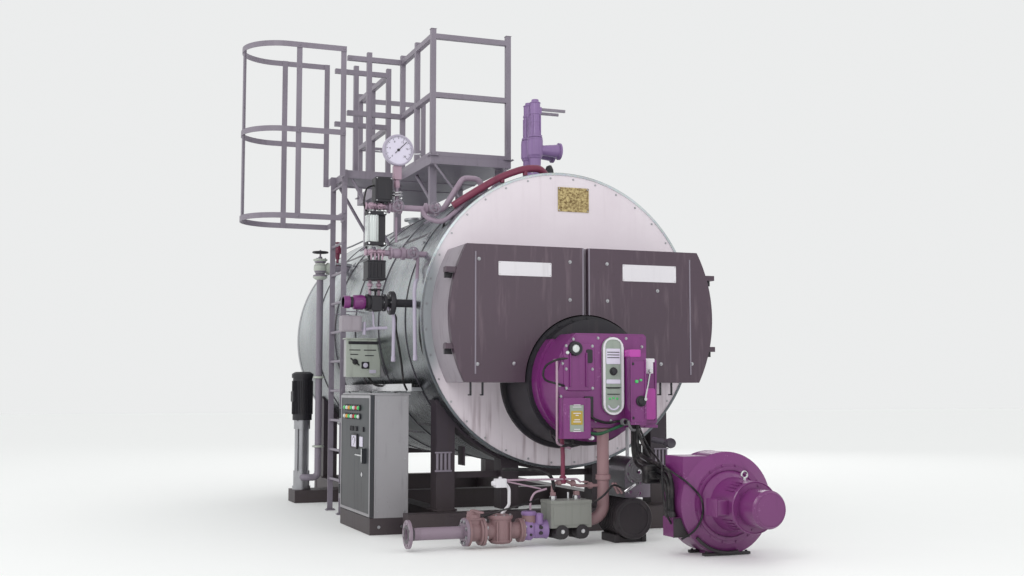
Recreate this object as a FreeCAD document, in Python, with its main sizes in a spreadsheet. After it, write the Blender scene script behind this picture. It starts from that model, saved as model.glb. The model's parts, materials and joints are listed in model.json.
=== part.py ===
"""Industrial fire-tube steam boiler on its skid, with burner, gas train, fan, ladder and platform.

Millimetres. +X is to the right of the front doors, +Y runs back along the boiler and +Z is up.
The origin lies on the ground, under the middle of the front plate of the boiler.
"""
import FreeCAD, Part
import math
import os
import re
from FreeCAD import Placement, Rotation, Vector
import Sketcher

doc = FreeCAD.newDocument("IndustrialBoiler")

# Driving sizes. Heights are above the ground; "_x", "_y" and "_z" name a place on that axis.
SIZES = {
    # Vessel
    "shell_radius": 1200, "shell_wall": 60, "shell_length": 4900, "axis_z": 1700, "plate_thick": 25,
    "band_width": 60, "band_thick": 6, "band_first": 430, "band_pitch": 850,
    # Skid and saddles
    "rail_x": 940, "skid_front": 50, "skid_short": 150, "beam_width": 150, "beam_height": 180,
    "outreach": 1300,
    "saddle_y": 150, "rear_saddle_inset": 600, "saddle_depth": 160, "cradle_thick": 20, "inner_post_x": 400,
    "cradle_top": 1050, "tie_z": 430, "tie_height": 50, "tie_thick": 12,
    # Front smoke box and its doors
    "smokebox_radius": 1112, "smokebox_bottom": 1186, "smokebox_top": 2230, "smokebox_wall": 20,
    "door_face": 474, "door_thick": 50, "door_gap": 5, "seam": 40, "mullion": 100, "cutout_radius": 510,
    "hinge_out": 8, "hinge_back": 24, "hinge_high": 2010, "hinge_low": 1435, "pin_radius": 10,
    "pin_clearance": 0.1, "knuckle_radius": 20, "knuckle_height": 40, "ear_length": 80,
    "ear_inset": 8,
    # Rear end
    "rear_box_half": 760, "rear_box_depth": 350, "rear_box_bottom": 1750, "rear_box_top": 2560,
    "flue_radius": 250, "flue_wall": 6, "flue_length": 150, "flue_flange": 310,
    "flue_flange_thick": 12, "flue_z": 2140, "cover_radius": 380, "cover_depth": 60, "cover_z": 1120,
    # Burner
    "burner_z": 1200, "throat_radius": 500, "throat_depth": 480, "drum_radius": 465, "drum_depth": 120,
    "housing_radius": 442, "housing_right": 300, "housing_top": 1545, "housing_bottom": 850,
    "burner_face": 900, "port_x": -290, "port_z": 1430, "port_radius": 46,
    "panel_x": 12, "panel_half": 84, "panel_bottom": 943, "panel_top": 1518, "panel_thick": 30,
    "box_left": -427, "box_right": -213, "box_bottom": 776, "box_top": 1069,
    "box_depth": 110, "side_left": 108, "side_right": 236, "side_bottom": 872, "side_top": 1400,
    "side_depth": 120,
    # Air duct and fan
    "duct_left": 240, "duct_right": 396, "duct_near": 860, "duct_far": 520, "duct_top": 1360,
    "duct_knee": 850, "mouth_left": 165, "mouth_right": 395, "mouth_bottom": 380, "mouth_top": 650,
    "mouth_flange": 25, "fan_x": 475, "fan_gap": 2, "fan_radius": 350, "fan_back": 1500, "fan_front": 1790,
    "fan_bevel": 40, "motor_radius": 185, "motor_front": 2120, "cap_radius": 125, "cap_front": 2310,
    "foot_half": 110, "terminal_out": 40, "terminal_span": 130, "terminal_bottom": 130,
    "terminal_top": 262, "terminal_y": 1560, "terminal_width": 160,
    # Oil pump set below the burner
    "drum_motor_x": 185, "drum_motor_z": 178, "drum_motor_radius": 150, "drum_motor_back": 560,
    "pump_block_x": 240, "pump_block_z": 520, "pump_block_half": 105,
    "oil_line_radius": 14,
    # Gas train
    "gas_y": -800, "gas_z": 118, "gas_inlet_x": -1530, "gas_pipe_radius": 44.45, "gas_bore_radius": 40.45,
    "gas_flange_radius": 100, "gas_flange_thick": 20, "gas_bolt_circle": 160, "gas_bolt_radius": 9,
    "cock_x": -1090, "cock_length": 110, "cock_radius": 68, "cock_top": 262, "filter_length": 300,
    "filter_radius": 80, "governor_radius": 62, "gas_box_left": -475, "gas_box_right": -156,
    "gas_box_depth": 200, "gas_box_bottom": 130, "gas_box_top": 322, "actuator_radius": 55,
    "riser_x": -16, "riser_bend": 110,
    # Cables between the burner and the fan
    "cable_radius": 14, "cable_bend": 140, "cable_pitch": 35,
    # Control cabinet
    "cabinet_left": -1520, "cabinet_right": -1210, "cabinet_near": 273, "cabinet_far": 1280,
    "cabinet_foot": 130, "cabinet_top": 1090, "cabinet_door_thick": 28, "cabinet_gap": 5,
    "cabinet_pin": 8, "cabinet_knuckle": 14, "cabinet_hinge_height": 80, "cabinet_wall": 25,
    "handle_y": 440, "handle_z": 605, "handle_length": 120,
    # Ladder, cage and platform
    "ladder_x": -1343, "ladder_near": 2005, "ladder_far": 2475, "stringer": 50, "stringer_thick": 12,
    "rung_first": 299, "rung_pitch": 275, "rung_radius": 13,
    "cage_x": -1900, "cage_y": 2240, "cage_radius": 360, "cage_bar": 50, "cage_thick": 8,
    "arm_bar_x": -1830, "low_hoop_drop": 500, "mid_hoop_rise": 295, "top_hoop_rise": 1082, "hoop_height": 50,
    "neck_drop": 80, "neck_height": 70,
    "deck_left": -800, "deck_right": -50, "deck_near": 1050, "deck_far": 3750, "deck_top": 3180,
    "deck_thick": 70, "landing_far": 2600, "landing_near": 2030, "rail_rise": 1096, "mid_rail_rise": 570,
    "post": 45, "post_tip": 45, "support_post": 60,
    # Safety valves and steam outlet
    "valve_near": 590, "valve_pitch": 150, "valve_flange_rise": 60,
    "valve_outlet_rise": 300, "valve_outlet_reach": 232, "valve_rise": 740, "lever_rise": 658,
    "lever_reach": 281, "lever_pivot": 40, "lever_pin": 6, "lever_half": 9,
    "steam_y": 4200, "steam_bore": 77, "steam_pipe": 84, "steam_flange": 143, "steam_bolt_circle": 240,
    "steam_bolt_radius": 11, "steam_flange_thick": 22, "steam_height": 160, "steam_seat": 10,
    # Level fittings on the left side of the shell
    "level_y": 250, "glass_x": -1505, "glass_half": 72, "glass_bottom": 2262, "glass_top": 2534,
    "glass_depth": 70, "steam_line_z": 2580, "water_line_z": 2212, "line_radius": 24,
    "line_left": -1570, "steam_entry_x": -610, "steam_crown_drop": 48, "line_bend": 70,
    "pot_bottom": 1993, "pot_top": 2140, "gauge_x": -1328, "gauge_z": 3038, "gauge_radius": 125,
    "gauge_depth": 55, "gauge_stem": 14, "switch_left": -1516, "switch_right": -1383,
    "switch_bottom": 2614, "switch_top": 2808, "switch_depth": 120,
    "blow_z": 1815, "blow_left": -1755, "blow_mid": -1580, "blow_right": -1409, "blow_radius": 55,
    # Instrument box and cable tray
    "box_y": 1350, "box_x": -1462, "box_z": 1245, "instrument_height": 322, "instrument_depth": 110,
    "tray_z": 1120, "tray_height": 30, "tray_x": -1150, "tray_near": 400, "tray_far": 2860,
    # Feed pump, pipe and valve
    "pump_x": -1414, "pump_y": 3500, "pump_stand": 124, "pump_head": 826, "pump_top": 1317,
    "pump_radius": 82, "pump_motor_radius": 98, "feed_x": -1276, "feed_y": 3360, "feed_radius": 34,
    "feed_z": 250, "feed_valve_z": 2380, "feed_valve_top": 2500, "feed_wheel_z": 2545,
    "feed_wheel_radius": 74, "feed_wheel_rim": 9, "spindle_radius": 9,
    # Name plate
    "name_x": 100, "name_z": 2683, "name_half": 137, "name_height": 200, "name_thick": 4,
}

sheet = doc.addObject("Spreadsheet::Sheet", "Sizes")
for row, (alias, number) in enumerate(SIZES.items(), start=1):
    sheet.set(f"A{row}", alias)
    sheet.set(f"B{row}", str(number))
    sheet.setAlias(f"B{row}", alias)
doc.recompute()

ALIAS = re.compile(r"[a-z]\w*")
AXIS = {"x": Rotation(Vector(0, 1, 0), 90), "y": Rotation(Vector(1, 0, 0), -90), "z": Rotation()}
ACROSS = {"x": "yz", "y": "xz", "z": "xy"}


def formula(text):
    """The text with every name of a driving size written as a cell of the sheet."""
    def cell(match):
        return "Sizes." + match.group() if match.group() in SIZES else match.group()
    return ALIAS.sub(cell, str(text))


def bind(feature, **formulas):
    for prop, text in formulas.items():
        feature.setExpression(prop, formula(text))
    return feature


def put(feature, x, y, z, turn=Rotation()):
    """Turn the feature and bind its place to the sheet."""
    feature.Placement = Placement(Vector(), turn)
    for letter, text in zip("xyz", (x, y, z)):
        feature.setExpression("Placement.Base." + letter, formula(text))
    return feature


def box(x0, x1, y0, y1, z0, z1):
    feature = doc.addObject("Part::Box", "Box")
    bind(feature, Length=f"({x1}) - ({x0})", Width=f"({y1}) - ({y0})", Height=f"({z1}) - ({z0})")
    return put(feature, x0, y0, z0)


def along(axis, at, start):
    """The three coordinates of a point: start along the axis, and at on the two other axes."""
    place = dict(zip(ACROSS[axis], at))
    place[axis] = start
    return place["x"], place["y"], place["z"]


def rod(axis, at, start, end, radius):
    feature = doc.addObject("Part::Cylinder", "Rod")
    bind(feature, Radius=radius, Height=f"({end}) - ({start})")
    return put(feature, *along(axis, at, start), AXIS[axis])


def cone(axis, at, start, end, radius, end_radius):
    feature = doc.addObject("Part::Cone", "Cone")
    bind(feature, Radius1=radius, Radius2=end_radius, Height=f"({end}) - ({start})")
    return put(feature, *along(axis, at, start), AXIS[axis])


def ring(axis, at, middle, radius, wire):
    feature = doc.addObject("Part::Torus", "Ring")
    bind(feature, Radius1=radius, Radius2=wire)
    return put(feature, *along(axis, at, middle), AXIS[axis])


def fuse(*pieces):
    feature = doc.addObject("Part::MultiFuse", "Fuse")
    feature.Shapes = list(pieces)
    feature.Refine = True
    return feature


def cut(base, *tools):
    feature = doc.addObject("Part::Cut", "Cut")
    feature.Base = base
    feature.Tool = tools[0] if len(tools) == 1 else fuse(*tools)
    return feature


def common(one, other):
    feature = doc.addObject("Part::MultiCommon", "Common")
    feature.Shapes = [one, other]
    return feature


def tube(axis, at, start, end, outer, inner):
    return cut(rod(axis, at, start, end, outer), rod(axis, at, start, end, inner))


def outline(body, role, points):
    """A closed sketch on one of the body's origin planes, each corner bound to the sheet."""
    sketch = body.newObject("Sketcher::SketchObject", "Outline")
    plane = next(item for item in body.Origin.OriginFeatures if item.Role == role)
    sketch.AttachmentSupport = [(plane, "")]
    sketch.MapMode = "FlatFace"
    numbers = [(measured(across), measured(up)) for across, up in points]
    corners = [Vector(across, up, 0) for across, up in numbers]
    for start, end in zip(corners, corners[1:] + corners[:1]):
        sketch.addGeometry(Part.LineSegment(start, end))
    count = len(points)
    for edge in range(count):
        sketch.addConstraint(Sketcher.Constraint("Coincident", edge, 2, (edge + 1) % count, 1))
    for edge, (across, up) in enumerate(points):
        for kind, text, number in zip(("DistanceX", "DistanceY"), (across, up), numbers[edge]):
            index = sketch.addConstraint(Sketcher.Constraint(kind, -1, 1, edge, 1, number))
            sketch.setExpression(f"Constraints[{index}]", formula(text))
    return sketch


def measured(text):
    """The number that a formula gives now, read through a working cell of the sheet."""
    sheet.set("D1", "=" + text)
    doc.recompute([sheet])
    return float(sheet.get("D1"))


def turned(axis, at, start, profile):
    """A solid of revolution about an axis; profile holds (distance from start, radius) corners."""
    body = doc.addObject("PartDesign::Body", "Turned")
    sketch = outline(body, "XZ_Plane", [(radius, distance) for distance, radius in profile])
    spin = body.newObject("PartDesign::Revolution", "Spin")
    spin.Profile = sketch
    spin.ReferenceAxis = (sketch, ["V_Axis"])
    spin.Angle = 360
    body.Tip = spin
    return put(body, *along(axis, at, start), AXIS[axis])


def path(points, bend):
    """A wire of straight runs through the points, joined by tangent arcs of radius bend."""
    edges = []
    begin = points[0]
    for before, corner, after in zip(points, points[1:], points[2:]):
        back = (before - corner).normalize()
        ahead = (after - corner).normalize()
        half_turn = (math.pi - back.getAngle(ahead)) / 2
        reach = bend * math.tan(half_turn)
        inward = (back + ahead).normalize()
        middle = corner + inward * (bend / math.cos(half_turn) - bend)
        edges.append(Part.LineSegment(begin, corner + back * reach).toShape())
        edges.append(Part.Arc(corner + back * reach, middle, corner + ahead * reach).toShape())
        begin = corner + ahead * reach
    edges.append(Part.LineSegment(begin, points[-1]).toShape())
    return Part.Wire(edges)


def bent(points, radius, bend):
    """A round bar or pipe of outer radius along the points."""
    route = path([Vector(*point) for point in points], bend)
    section = Part.Wire(Part.makeCircle(radius, Vector(*points[0]), route.Edges[0].tangentAt(0)))
    feature = doc.addObject("Part::Feature", "Bent")
    feature.Shape = route.makePipeShell([section], True, False)
    return feature


def node(name, *pieces):
    """Name a finished piece; several pieces that don't touch share the node as a compound."""
    feature = pieces[0]
    if len(pieces) > 1:
        feature = doc.addObject("Part::Compound", "Compound")
        feature.Links = list(pieces)
    feature.Label = name
    nodes[name] = feature
    return feature


def shell_cylinder(extra="0"):
    """The round outside of the vessel as a cutting tool, grown by extra."""
    return rod("y", ("0", "axis_z"), "-100", "shell_length + 100", f"shell_radius + {extra}")


nodes = {}


# Vessel ------------------------------------------------------------------------------------------
AXLE = ("0", "axis_z")
CROWN = "(axis_z + shell_radius)"
node("shell", tube("y", AXLE, "plate_thick", "shell_length - plate_thick",
                   "shell_radius", "shell_radius - shell_wall"))
node("front_plate", rod("y", AXLE, "0", "plate_thick", "shell_radius"))
node("rear_plate", rod("y", AXLE, "shell_length - plate_thick", "shell_length", "shell_radius"))
node("cladding_bands", *[
    tube("y", AXLE, f"band_first + {number} * band_pitch",
         f"band_first + {number} * band_pitch + band_width", "shell_radius + band_thick", "shell_radius")
    for number in range(5)])


# Skid --------------------------------------------------------------------------------------------
SKID_END = "(shell_length - skid_short)"
RAIL_IN = "rail_x - beam_width / 2"
RAIL_OUT = "rail_x + beam_width / 2"
node("skid_rails",
     box(f"-({RAIL_OUT})", f"-({RAIL_IN})", "-skid_front", SKID_END, "0", "beam_height"),
     box(RAIL_IN, RAIL_OUT, "-skid_front", SKID_END, "0", "beam_height"))
CROSS_PLACES = ("-skid_front", f"({SKID_END} - beam_width) / 2", f"{SKID_END} - beam_width")
node("skid_crossbeams", *[
    box(f"-({RAIL_IN})", RAIL_IN, place, f"{place} + beam_width", "0", "beam_height")
    for place in CROSS_PLACES])
node("cabinet_stand", fuse(
    box("cabinet_left", "cabinet_left + beam_width", "cabinet_near", "cabinet_far", "0", "cabinet_foot"),
    box("cabinet_left", f"-({RAIL_OUT})", "cabinet_near", "cabinet_near + beam_width", "0", "cabinet_foot"),
    box("cabinet_left", f"-({RAIL_OUT})", "cabinet_far - beam_width", "cabinet_far", "0", "cabinet_foot"),
    box("-outreach", f"-({RAIL_OUT})", "-skid_front", "beam_width - skid_front", "0", "beam_height")))
node("pump_stand", box("pump_x - 98", f"-({RAIL_OUT})", "pump_y - 170", "pump_y + 170",
                       "0", "pump_stand"))


def saddle(start):
    """Four posts, a curved cradle under the shell and a tie bar, from y = start."""
    end = f"{start} + saddle_depth"
    posts = [box(f"{side} * {place} - beam_width / 2", f"{side} * {place} + beam_width / 2",
                 start, end, "beam_height", "cradle_top")
             for side in (-1, 1) for place in ("rail_x", "inner_post_x")]
    seats = [cut(post, shell_cylinder()) for post in posts]
    trough = common(tube("y", AXLE, start, end, "shell_radius + cradle_thick", "shell_radius"),
                    box("-shell_radius", "shell_radius", start, end, "0", "cradle_top"))
    tie = box("-rail_x", "rail_x", f"{start} + saddle_depth / 2", f"{start} + saddle_depth / 2 + tie_thick",
              "tie_z", "tie_z + tie_height")
    return fuse(*seats, trough, tie)


node("saddles", saddle("saddle_y"), saddle("(shell_length - rear_saddle_inset)"))


# Front smoke box and doors -----------------------------------------------------------------------
def smokebox_block(start, end, inset="0"):
    """The smoke box's outline as a block: a disc cut flat above and below, and round the burner."""
    disc = rod("y", AXLE, start, end, f"smokebox_radius - {inset}")
    slab = box("-smokebox_radius", "smokebox_radius", start, end,
               f"smokebox_bottom + {inset}", f"smokebox_top - {inset}")
    bay = rod("y", ("0", "burner_z"), start, end, f"cutout_radius + {inset}")
    return cut(common(disc, slab), bay)


BOX_FRONT = "-(door_face - door_thick - door_gap)"
HINGE_X = "(smokebox_radius + hinge_out)"
HINGE_Y = "(door_face - door_thick - hinge_back)"
mullion = box("-mullion / 2", "mullion / 2", BOX_FRONT, "-(door_face - door_thick - 4 * door_gap)",
              "burner_z + cutout_radius + smokebox_wall / 2", "smokebox_top - smokebox_wall / 2")
node("smokebox", fuse(cut(smokebox_block(BOX_FRONT, "0"), smokebox_block(BOX_FRONT, "0", "smokebox_wall")),
                      mullion))


def sideways(side, near, far):
    """The two ends in X of something on the left (-1) or the right (1) of the middle."""
    return (near, far) if side > 0 else (f"-({far})", f"-({near})")


def front_door(side):
    """One leaf with two hinge ears, whose knuckles lie behind it, beside the smoke box."""
    start = "-door_face"
    end = "-(door_face - door_thick)"
    half = box(*sideways(side, "seam / 2", "2 * smokebox_radius"), start, end,
               "smokebox_bottom - door_gap", "smokebox_top + door_gap")
    leaf = common(smokebox_block(start, end), half)
    axle = (f"{side} * {HINGE_X}", f"-{HINGE_Y}")
    pieces = [leaf]
    holes = []
    for height in ("hinge_high", "hinge_low"):
        low = f"{height} + pin_clearance"
        high = f"{height} + knuckle_height"
        pieces.append(box(*sideways(side, f"{HINGE_X} - ear_length", f"{HINGE_X} + knuckle_radius"),
                          f"{start} + ear_inset", f"{end} - ear_inset", low, high))
        pieces.append(box(*sideways(side, f"{HINGE_X} - knuckle_radius", f"{HINGE_X} + knuckle_radius"),
                          f"{start} + ear_inset", f"-{HINGE_Y}", low, high))
        pieces.append(rod("z", axle, low, high, "knuckle_radius"))
        holes.append(rod("z", axle, low, high, "pin_radius + pin_clearance"))
    return cut(fuse(*pieces), *holes)


node("front_door_left", front_door(-1))
node("front_door_right", front_door(1))


def hinge_bracket(side, height):
    """A lug on the smoke box's side that carries the pin of one knuckle."""
    low = f"{height} - knuckle_height"
    lug = box(*sideways(side, f"{HINGE_X} - ear_length", f"{HINGE_X} + pin_radius"),
              f"-{HINGE_Y} - pin_radius", f"-{HINGE_Y} + 2 * pin_radius", low, height)
    drum = rod("y", AXLE, "-2 * door_face", "0", "smokebox_radius")
    pin = rod("z", (f"{side} * {HINGE_X}", f"-{HINGE_Y}"), low, f"{height} + knuckle_height + 6",
              "pin_radius")
    return fuse(cut(lug, drum), pin)


node("hinge_brackets", *[hinge_bracket(side, height) for side in (-1, 1)
                         for height in ("hinge_high", "hinge_low")])
node("name_plate", box("name_x - name_half", "name_x + name_half", "-name_thick", "0",
                       "name_z - name_height / 2", "name_z + name_height / 2"))


# Rear end ----------------------------------------------------------------------------------------
REAR = "shell_length"
node("rear_smokebox", common(
    box("-rear_box_half", "rear_box_half", REAR, f"{REAR} + rear_box_depth",
        "rear_box_bottom", "rear_box_top"),
    rod("y", AXLE, REAR, f"{REAR} + rear_box_depth", "smokebox_radius")))
BOX_BACK = f"{REAR} + rear_box_depth"
FLUE_END = f"{BOX_BACK} + flue_length"
node("flue_outlet", fuse(
    tube("y", ("0", "flue_z"), BOX_BACK, FLUE_END, "flue_radius + flue_wall", "flue_radius"),
    tube("y", ("0", "flue_z"), f"{FLUE_END} - flue_flange_thick", FLUE_END, "flue_flange", "flue_radius")))
node("rear_cover", turned("y", ("0", "cover_z"), REAR, [
    ("0", "0"), ("0", "cover_radius"), ("cover_depth / 2", "cover_radius"),
    ("cover_depth / 2", "cover_radius - 40"), ("cover_depth", "cover_radius - 60"), ("cover_depth", "0")]))


# Burner ------------------------------------------------------------------------------------------
MOUTH = ("0", "burner_z")
node("burner_throat", rod("y", MOUTH, "-throat_depth", "0", "throat_radius"))
drum = rod("y", MOUTH, "-(throat_depth + drum_depth)", "-throat_depth", "drum_radius")
housing = common(rod("y", MOUTH, "-burner_face", "-throat_depth", "housing_radius"),
                 box("-housing_radius", "housing_right", "-burner_face", "-throat_depth",
                     "housing_bottom", "housing_top"))
port = rod("y", ("port_x", "port_z"), "-burner_face - 30", "-burner_face", "port_radius")
node("burner_body", fuse(drum, housing, port))
PILL_FRONT = "-burner_face - panel_thick"
pill_low = ("panel_x", "panel_bottom + panel_half")
pill_high = ("panel_x", "panel_top - panel_half")
node("burner_panel", fuse(
    rod("y", pill_low, PILL_FRONT, "-burner_face", "panel_half"),
    rod("y", pill_high, PILL_FRONT, "-burner_face", "panel_half"),
    box("panel_x - panel_half", "panel_x + panel_half", PILL_FRONT, "-burner_face",
        "panel_bottom + panel_half", "panel_top - panel_half")))
node("burner_boxes",
     box("box_left", "box_right", "-burner_face - box_depth", "-burner_face", "box_bottom", "box_top"),
     box("side_left", "side_right", "-burner_face - side_depth", "-burner_face",
         "side_bottom", "side_top"))


# Air duct and fan --------------------------------------------------------------------------------
def rectangle(corners):
    return Part.makePolygon([Vector(*corner) for corner in corners + corners[:1]])


def air_duct():
    """A chute on the burner's right flank that turns down and forward into the fan casing."""
    s = sheet
    near, far = -s.duct_near, -s.duct_far
    top = [(s.duct_left, near, s.duct_knee), (s.duct_right, near, s.duct_knee),
           (s.duct_right, far, s.duct_knee), (s.duct_left, far, s.duct_knee)]
    mouth = [(s.mouth_left, -s.fan_back, s.mouth_top), (s.mouth_right, -s.fan_back, s.mouth_top),
             (s.mouth_right, -s.fan_back, s.mouth_bottom), (s.mouth_left, -s.fan_back, s.mouth_bottom)]
    feature = doc.addObject("Part::Feature", "Transition")
    feature.Shape = Part.makeLoft([rectangle(top), rectangle(mouth)], True, True)
    return feature


chute = box("housing_right", "duct_right", "-duct_near", "-duct_far", "duct_knee", "duct_top")
collar = box("mouth_left - mouth_flange", "mouth_right + mouth_flange", "-fan_back",
             "-fan_back + mouth_flange", "mouth_bottom - mouth_flange", "mouth_top + mouth_flange")
node("air_duct", cut(fuse(chute, collar, air_duct()), nodes["burner_body"]))
FAN_Z = "(fan_radius + fan_gap)"
FAN = ("fan_x", FAN_Z)
casing = turned("y", FAN, "-fan_front", [
    ("0", "0"), ("0", "fan_radius - 2 * fan_bevel"), ("fan_bevel", "fan_radius"),
    ("fan_front - fan_back", "fan_radius"), ("fan_front - fan_back", "0")])
feet = box("fan_x - foot_half", "fan_x + foot_half", "-fan_front + fan_bevel", "-fan_back - fan_bevel",
           "0", f"{FAN_Z} - fan_radius / 2")
TERMINAL_LEFT = "(fan_x - fan_radius - terminal_out)"
terminal = box(TERMINAL_LEFT, f"{TERMINAL_LEFT} + terminal_span",
               "-terminal_y - terminal_width", "-terminal_y", "terminal_bottom", "terminal_top")
horn = box("mouth_left - mouth_flange", "fan_x", "-fan_front + fan_bevel", "-fan_back",
           FAN_Z, "mouth_top + mouth_flange")
node("fan_casing", fuse(casing, feet, terminal, horn))
node("fan_motor", turned("y", FAN, "-fan_front", [
    ("0", "0"), ("0", "motor_radius + 40"), ("-60", "motor_radius"),
    ("fan_front - motor_front", "motor_radius - 20"), ("fan_front - motor_front", "cap_radius"),
    ("fan_front - cap_front + 20", "cap_radius"), ("fan_front - cap_front", "cap_radius - 20"),
    ("fan_front - cap_front", "0")]))


# Oil pump set ------------------------------------------------------------------------------------
DRUM = ("drum_motor_x", "drum_motor_z")
node("oil_pump_motor", fuse(
    rod("y", DRUM, "-burner_face", "-drum_motor_back", "drum_motor_radius"),
    box("drum_motor_x - 90", "drum_motor_x + 90", "-burner_face + 60", "-drum_motor_back - 60",
        "0", "drum_motor_z - 120")))
node("oil_pump", fuse(
    box("pump_block_x - pump_block_half", "pump_block_x + pump_block_half",
        "-duct_near", "-duct_far", "drum_motor_z + drum_motor_radius", "pump_block_z"),
    rod("y", ("pump_block_x", "pump_block_z"), "-duct_near", "-duct_far", "pump_block_half"),
    rod("z", ("pump_block_x", "-(duct_near + duct_far) / 2"), "pump_block_z", "housing_bottom",
        "oil_line_radius")))


# Gas train ---------------------------------------------------------------------------------------
LINE = ("gas_y", "gas_z")


def bolt_holes(axis, at, start, end, circle, radius, count):
    """Clearance holes on a bolt circle, straddling the centre lines."""
    holes = []
    for number in range(count):
        turn = (number + 0.5) * 360 / count
        centre = (f"{at[0]} + {circle} / 2 * cos({turn})", f"{at[1]} + {circle} / 2 * sin({turn})")
        holes.append(rod(axis, centre, f"{start} - 1", f"{end} + 1", radius))
    return holes


FLANGE_END = "gas_inlet_x + gas_flange_thick"
inlet_flange = cut(rod("x", LINE, "gas_inlet_x", FLANGE_END, "gas_flange_radius"),
                   *bolt_holes("x", LINE, "gas_inlet_x", FLANGE_END, "gas_bolt_circle",
                               "gas_bolt_radius", 8))
node("gas_inlet_pipe", cut(
    fuse(inlet_flange, rod("x", LINE, "gas_inlet_x", "cock_x", "gas_pipe_radius"),
         rod("x", LINE, "cock_x - gas_flange_thick", "cock_x", "gas_flange_radius")),
    rod("x", LINE, "gas_inlet_x - 1", "cock_x - gas_flange_thick", "gas_bore_radius")))
COCK_END = "cock_x + cock_length"
FILTER_END = "cock_x + cock_length + filter_length"
node("gas_valves", fuse(
    rod("x", LINE, "cock_x", COCK_END, "cock_radius"),
    box("cock_x + 20", f"{COCK_END} - 20", "gas_y - 40", "gas_y + 40", "gas_z", "cock_top"),
    rod("x", LINE, COCK_END, f"{COCK_END} + gas_flange_thick", "gas_flange_radius"),
    rod("x", LINE, COCK_END, FILTER_END, "filter_radius - 20"),
    rod("z", (f"{COCK_END} + filter_length / 2", "gas_y"), "gas_z - 75", "gas_z + 90", "filter_radius"),
    rod("x", LINE, FILTER_END, "gas_box_left", "governor_radius"),
    rod("z", (f"{FILTER_END} + 70", "gas_y"), "gas_z", "gas_z + 115", "governor_radius - 12")))
node("gas_valve_box", fuse(
    box("gas_box_left", "gas_box_right", "gas_y - gas_box_depth / 2", "gas_y + gas_box_depth / 2",
        "gas_box_bottom", "gas_box_top"),
    *[rod("z", (f"gas_box_left + {place}", "gas_y"), "gas_box_bottom - 70", "gas_box_bottom",
          "actuator_radius") for place in (85, 245)]))


def gas_riser():
    """The pipe from the valve box that bends up into the underside of the burner."""
    s = sheet
    height = s.gas_box_bottom + s.gas_pipe_radius
    points = [(s.gas_box_right, s.gas_y, height), (s.riser_x, s.gas_y, height),
              (s.riser_x, s.gas_y, s.housing_bottom)]
    return bent(points, s.gas_pipe_radius, s.riser_bend)


node("gas_riser", gas_riser())


# Cables ------------------------------------------------------------------------------------------
def cables():
    """Held cables from the burner's side box, nested through both bends, to the fan's terminal box."""
    s = sheet
    runs = []
    for number in range(3):
        shift = number * s.cable_pitch
        start_y = -s.burner_face - 25 - shift
        end_y = -s.terminal_y - s.cable_pitch - shift
        start_x = (s.side_left + s.side_right) / 2
        end_x = s.fan_x - s.fan_radius - s.terminal_out + s.cable_pitch / 2
        runs.append(bent([(start_x, start_y, s.side_bottom), (start_x, start_y, 590 + shift),
                          (end_x, end_y, 500 + shift), (end_x, end_y, s.terminal_top)],
                         s.cable_radius, s.cable_bend))
    return runs


# Control cabinet ---------------------------------------------------------------------------------
SKIN = "cabinet_left + cabinet_door_thick + cabinet_gap"
node("cabinet_body", cut(
    box(SKIN, "cabinet_right", "cabinet_near", "cabinet_far", "cabinet_foot", "cabinet_top"),
    box(f"{SKIN} - 1", "cabinet_right - cabinet_wall", "cabinet_near + cabinet_wall",
        "cabinet_far - cabinet_wall", "cabinet_foot + cabinet_wall", "cabinet_top - cabinet_wall")))


def cabinet_door():
    """A flat leaf on the left face, hinged at its rear edge, with a handle at the front edge."""
    leaf = box("cabinet_left", "cabinet_left + cabinet_door_thick", "cabinet_near", "cabinet_far",
               "cabinet_foot + 4", "cabinet_top")
    hinge = ("cabinet_left", "cabinet_far + cabinet_knuckle")
    knuckles = []
    holes = []
    for height in ("cabinet_foot + 120", "cabinet_top - 200"):
        low = f"{height} + pin_clearance"
        high = f"{height} + cabinet_hinge_height"
        knuckles.append(rod("z", hinge, low, high, "cabinet_knuckle"))
        knuckles.append(box("cabinet_left", "cabinet_left + 8", "cabinet_far - 10",
                            "cabinet_far + cabinet_knuckle", low, high))
        holes.append(rod("z", hinge, low, high, "cabinet_pin + pin_clearance"))
    handle = box("cabinet_left - 30", "cabinet_left", "handle_y - 14", "handle_y + 14",
                 "handle_z - handle_length / 2", "handle_z + handle_length / 2")
    return cut(fuse(leaf, handle, *knuckles), *holes)


node("cabinet_door", cabinet_door())


def cabinet_hinge(height):
    """A pin on an arm that reaches round the door's edge from a plate on the cabinet's back."""
    low = f"{height} - 40"
    hinge = ("cabinet_left", "cabinet_far + cabinet_knuckle")
    back = "cabinet_far + 24"
    plate = box(SKIN, "cabinet_left + 120", "cabinet_far", back, low, height)
    arm = box("cabinet_left", SKIN, "cabinet_far + cabinet_knuckle", back, low, height)
    boss = rod("z", hinge, low, height, "cabinet_pin + 2")
    pin = rod("z", hinge, low, f"{height} + cabinet_hinge_height + 5", "cabinet_pin")
    return fuse(plate, arm, boss, pin)


node("cabinet_hinges", cabinet_hinge("cabinet_foot + 120"), cabinet_hinge("cabinet_top - 200"))


# Ladder, cage and platform -----------------------------------------------------------------------
def stringer(place):
    return box("ladder_x - stringer / 2", "ladder_x + stringer / 2", place, f"{place} + stringer_thick",
               "0", "deck_top")


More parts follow.
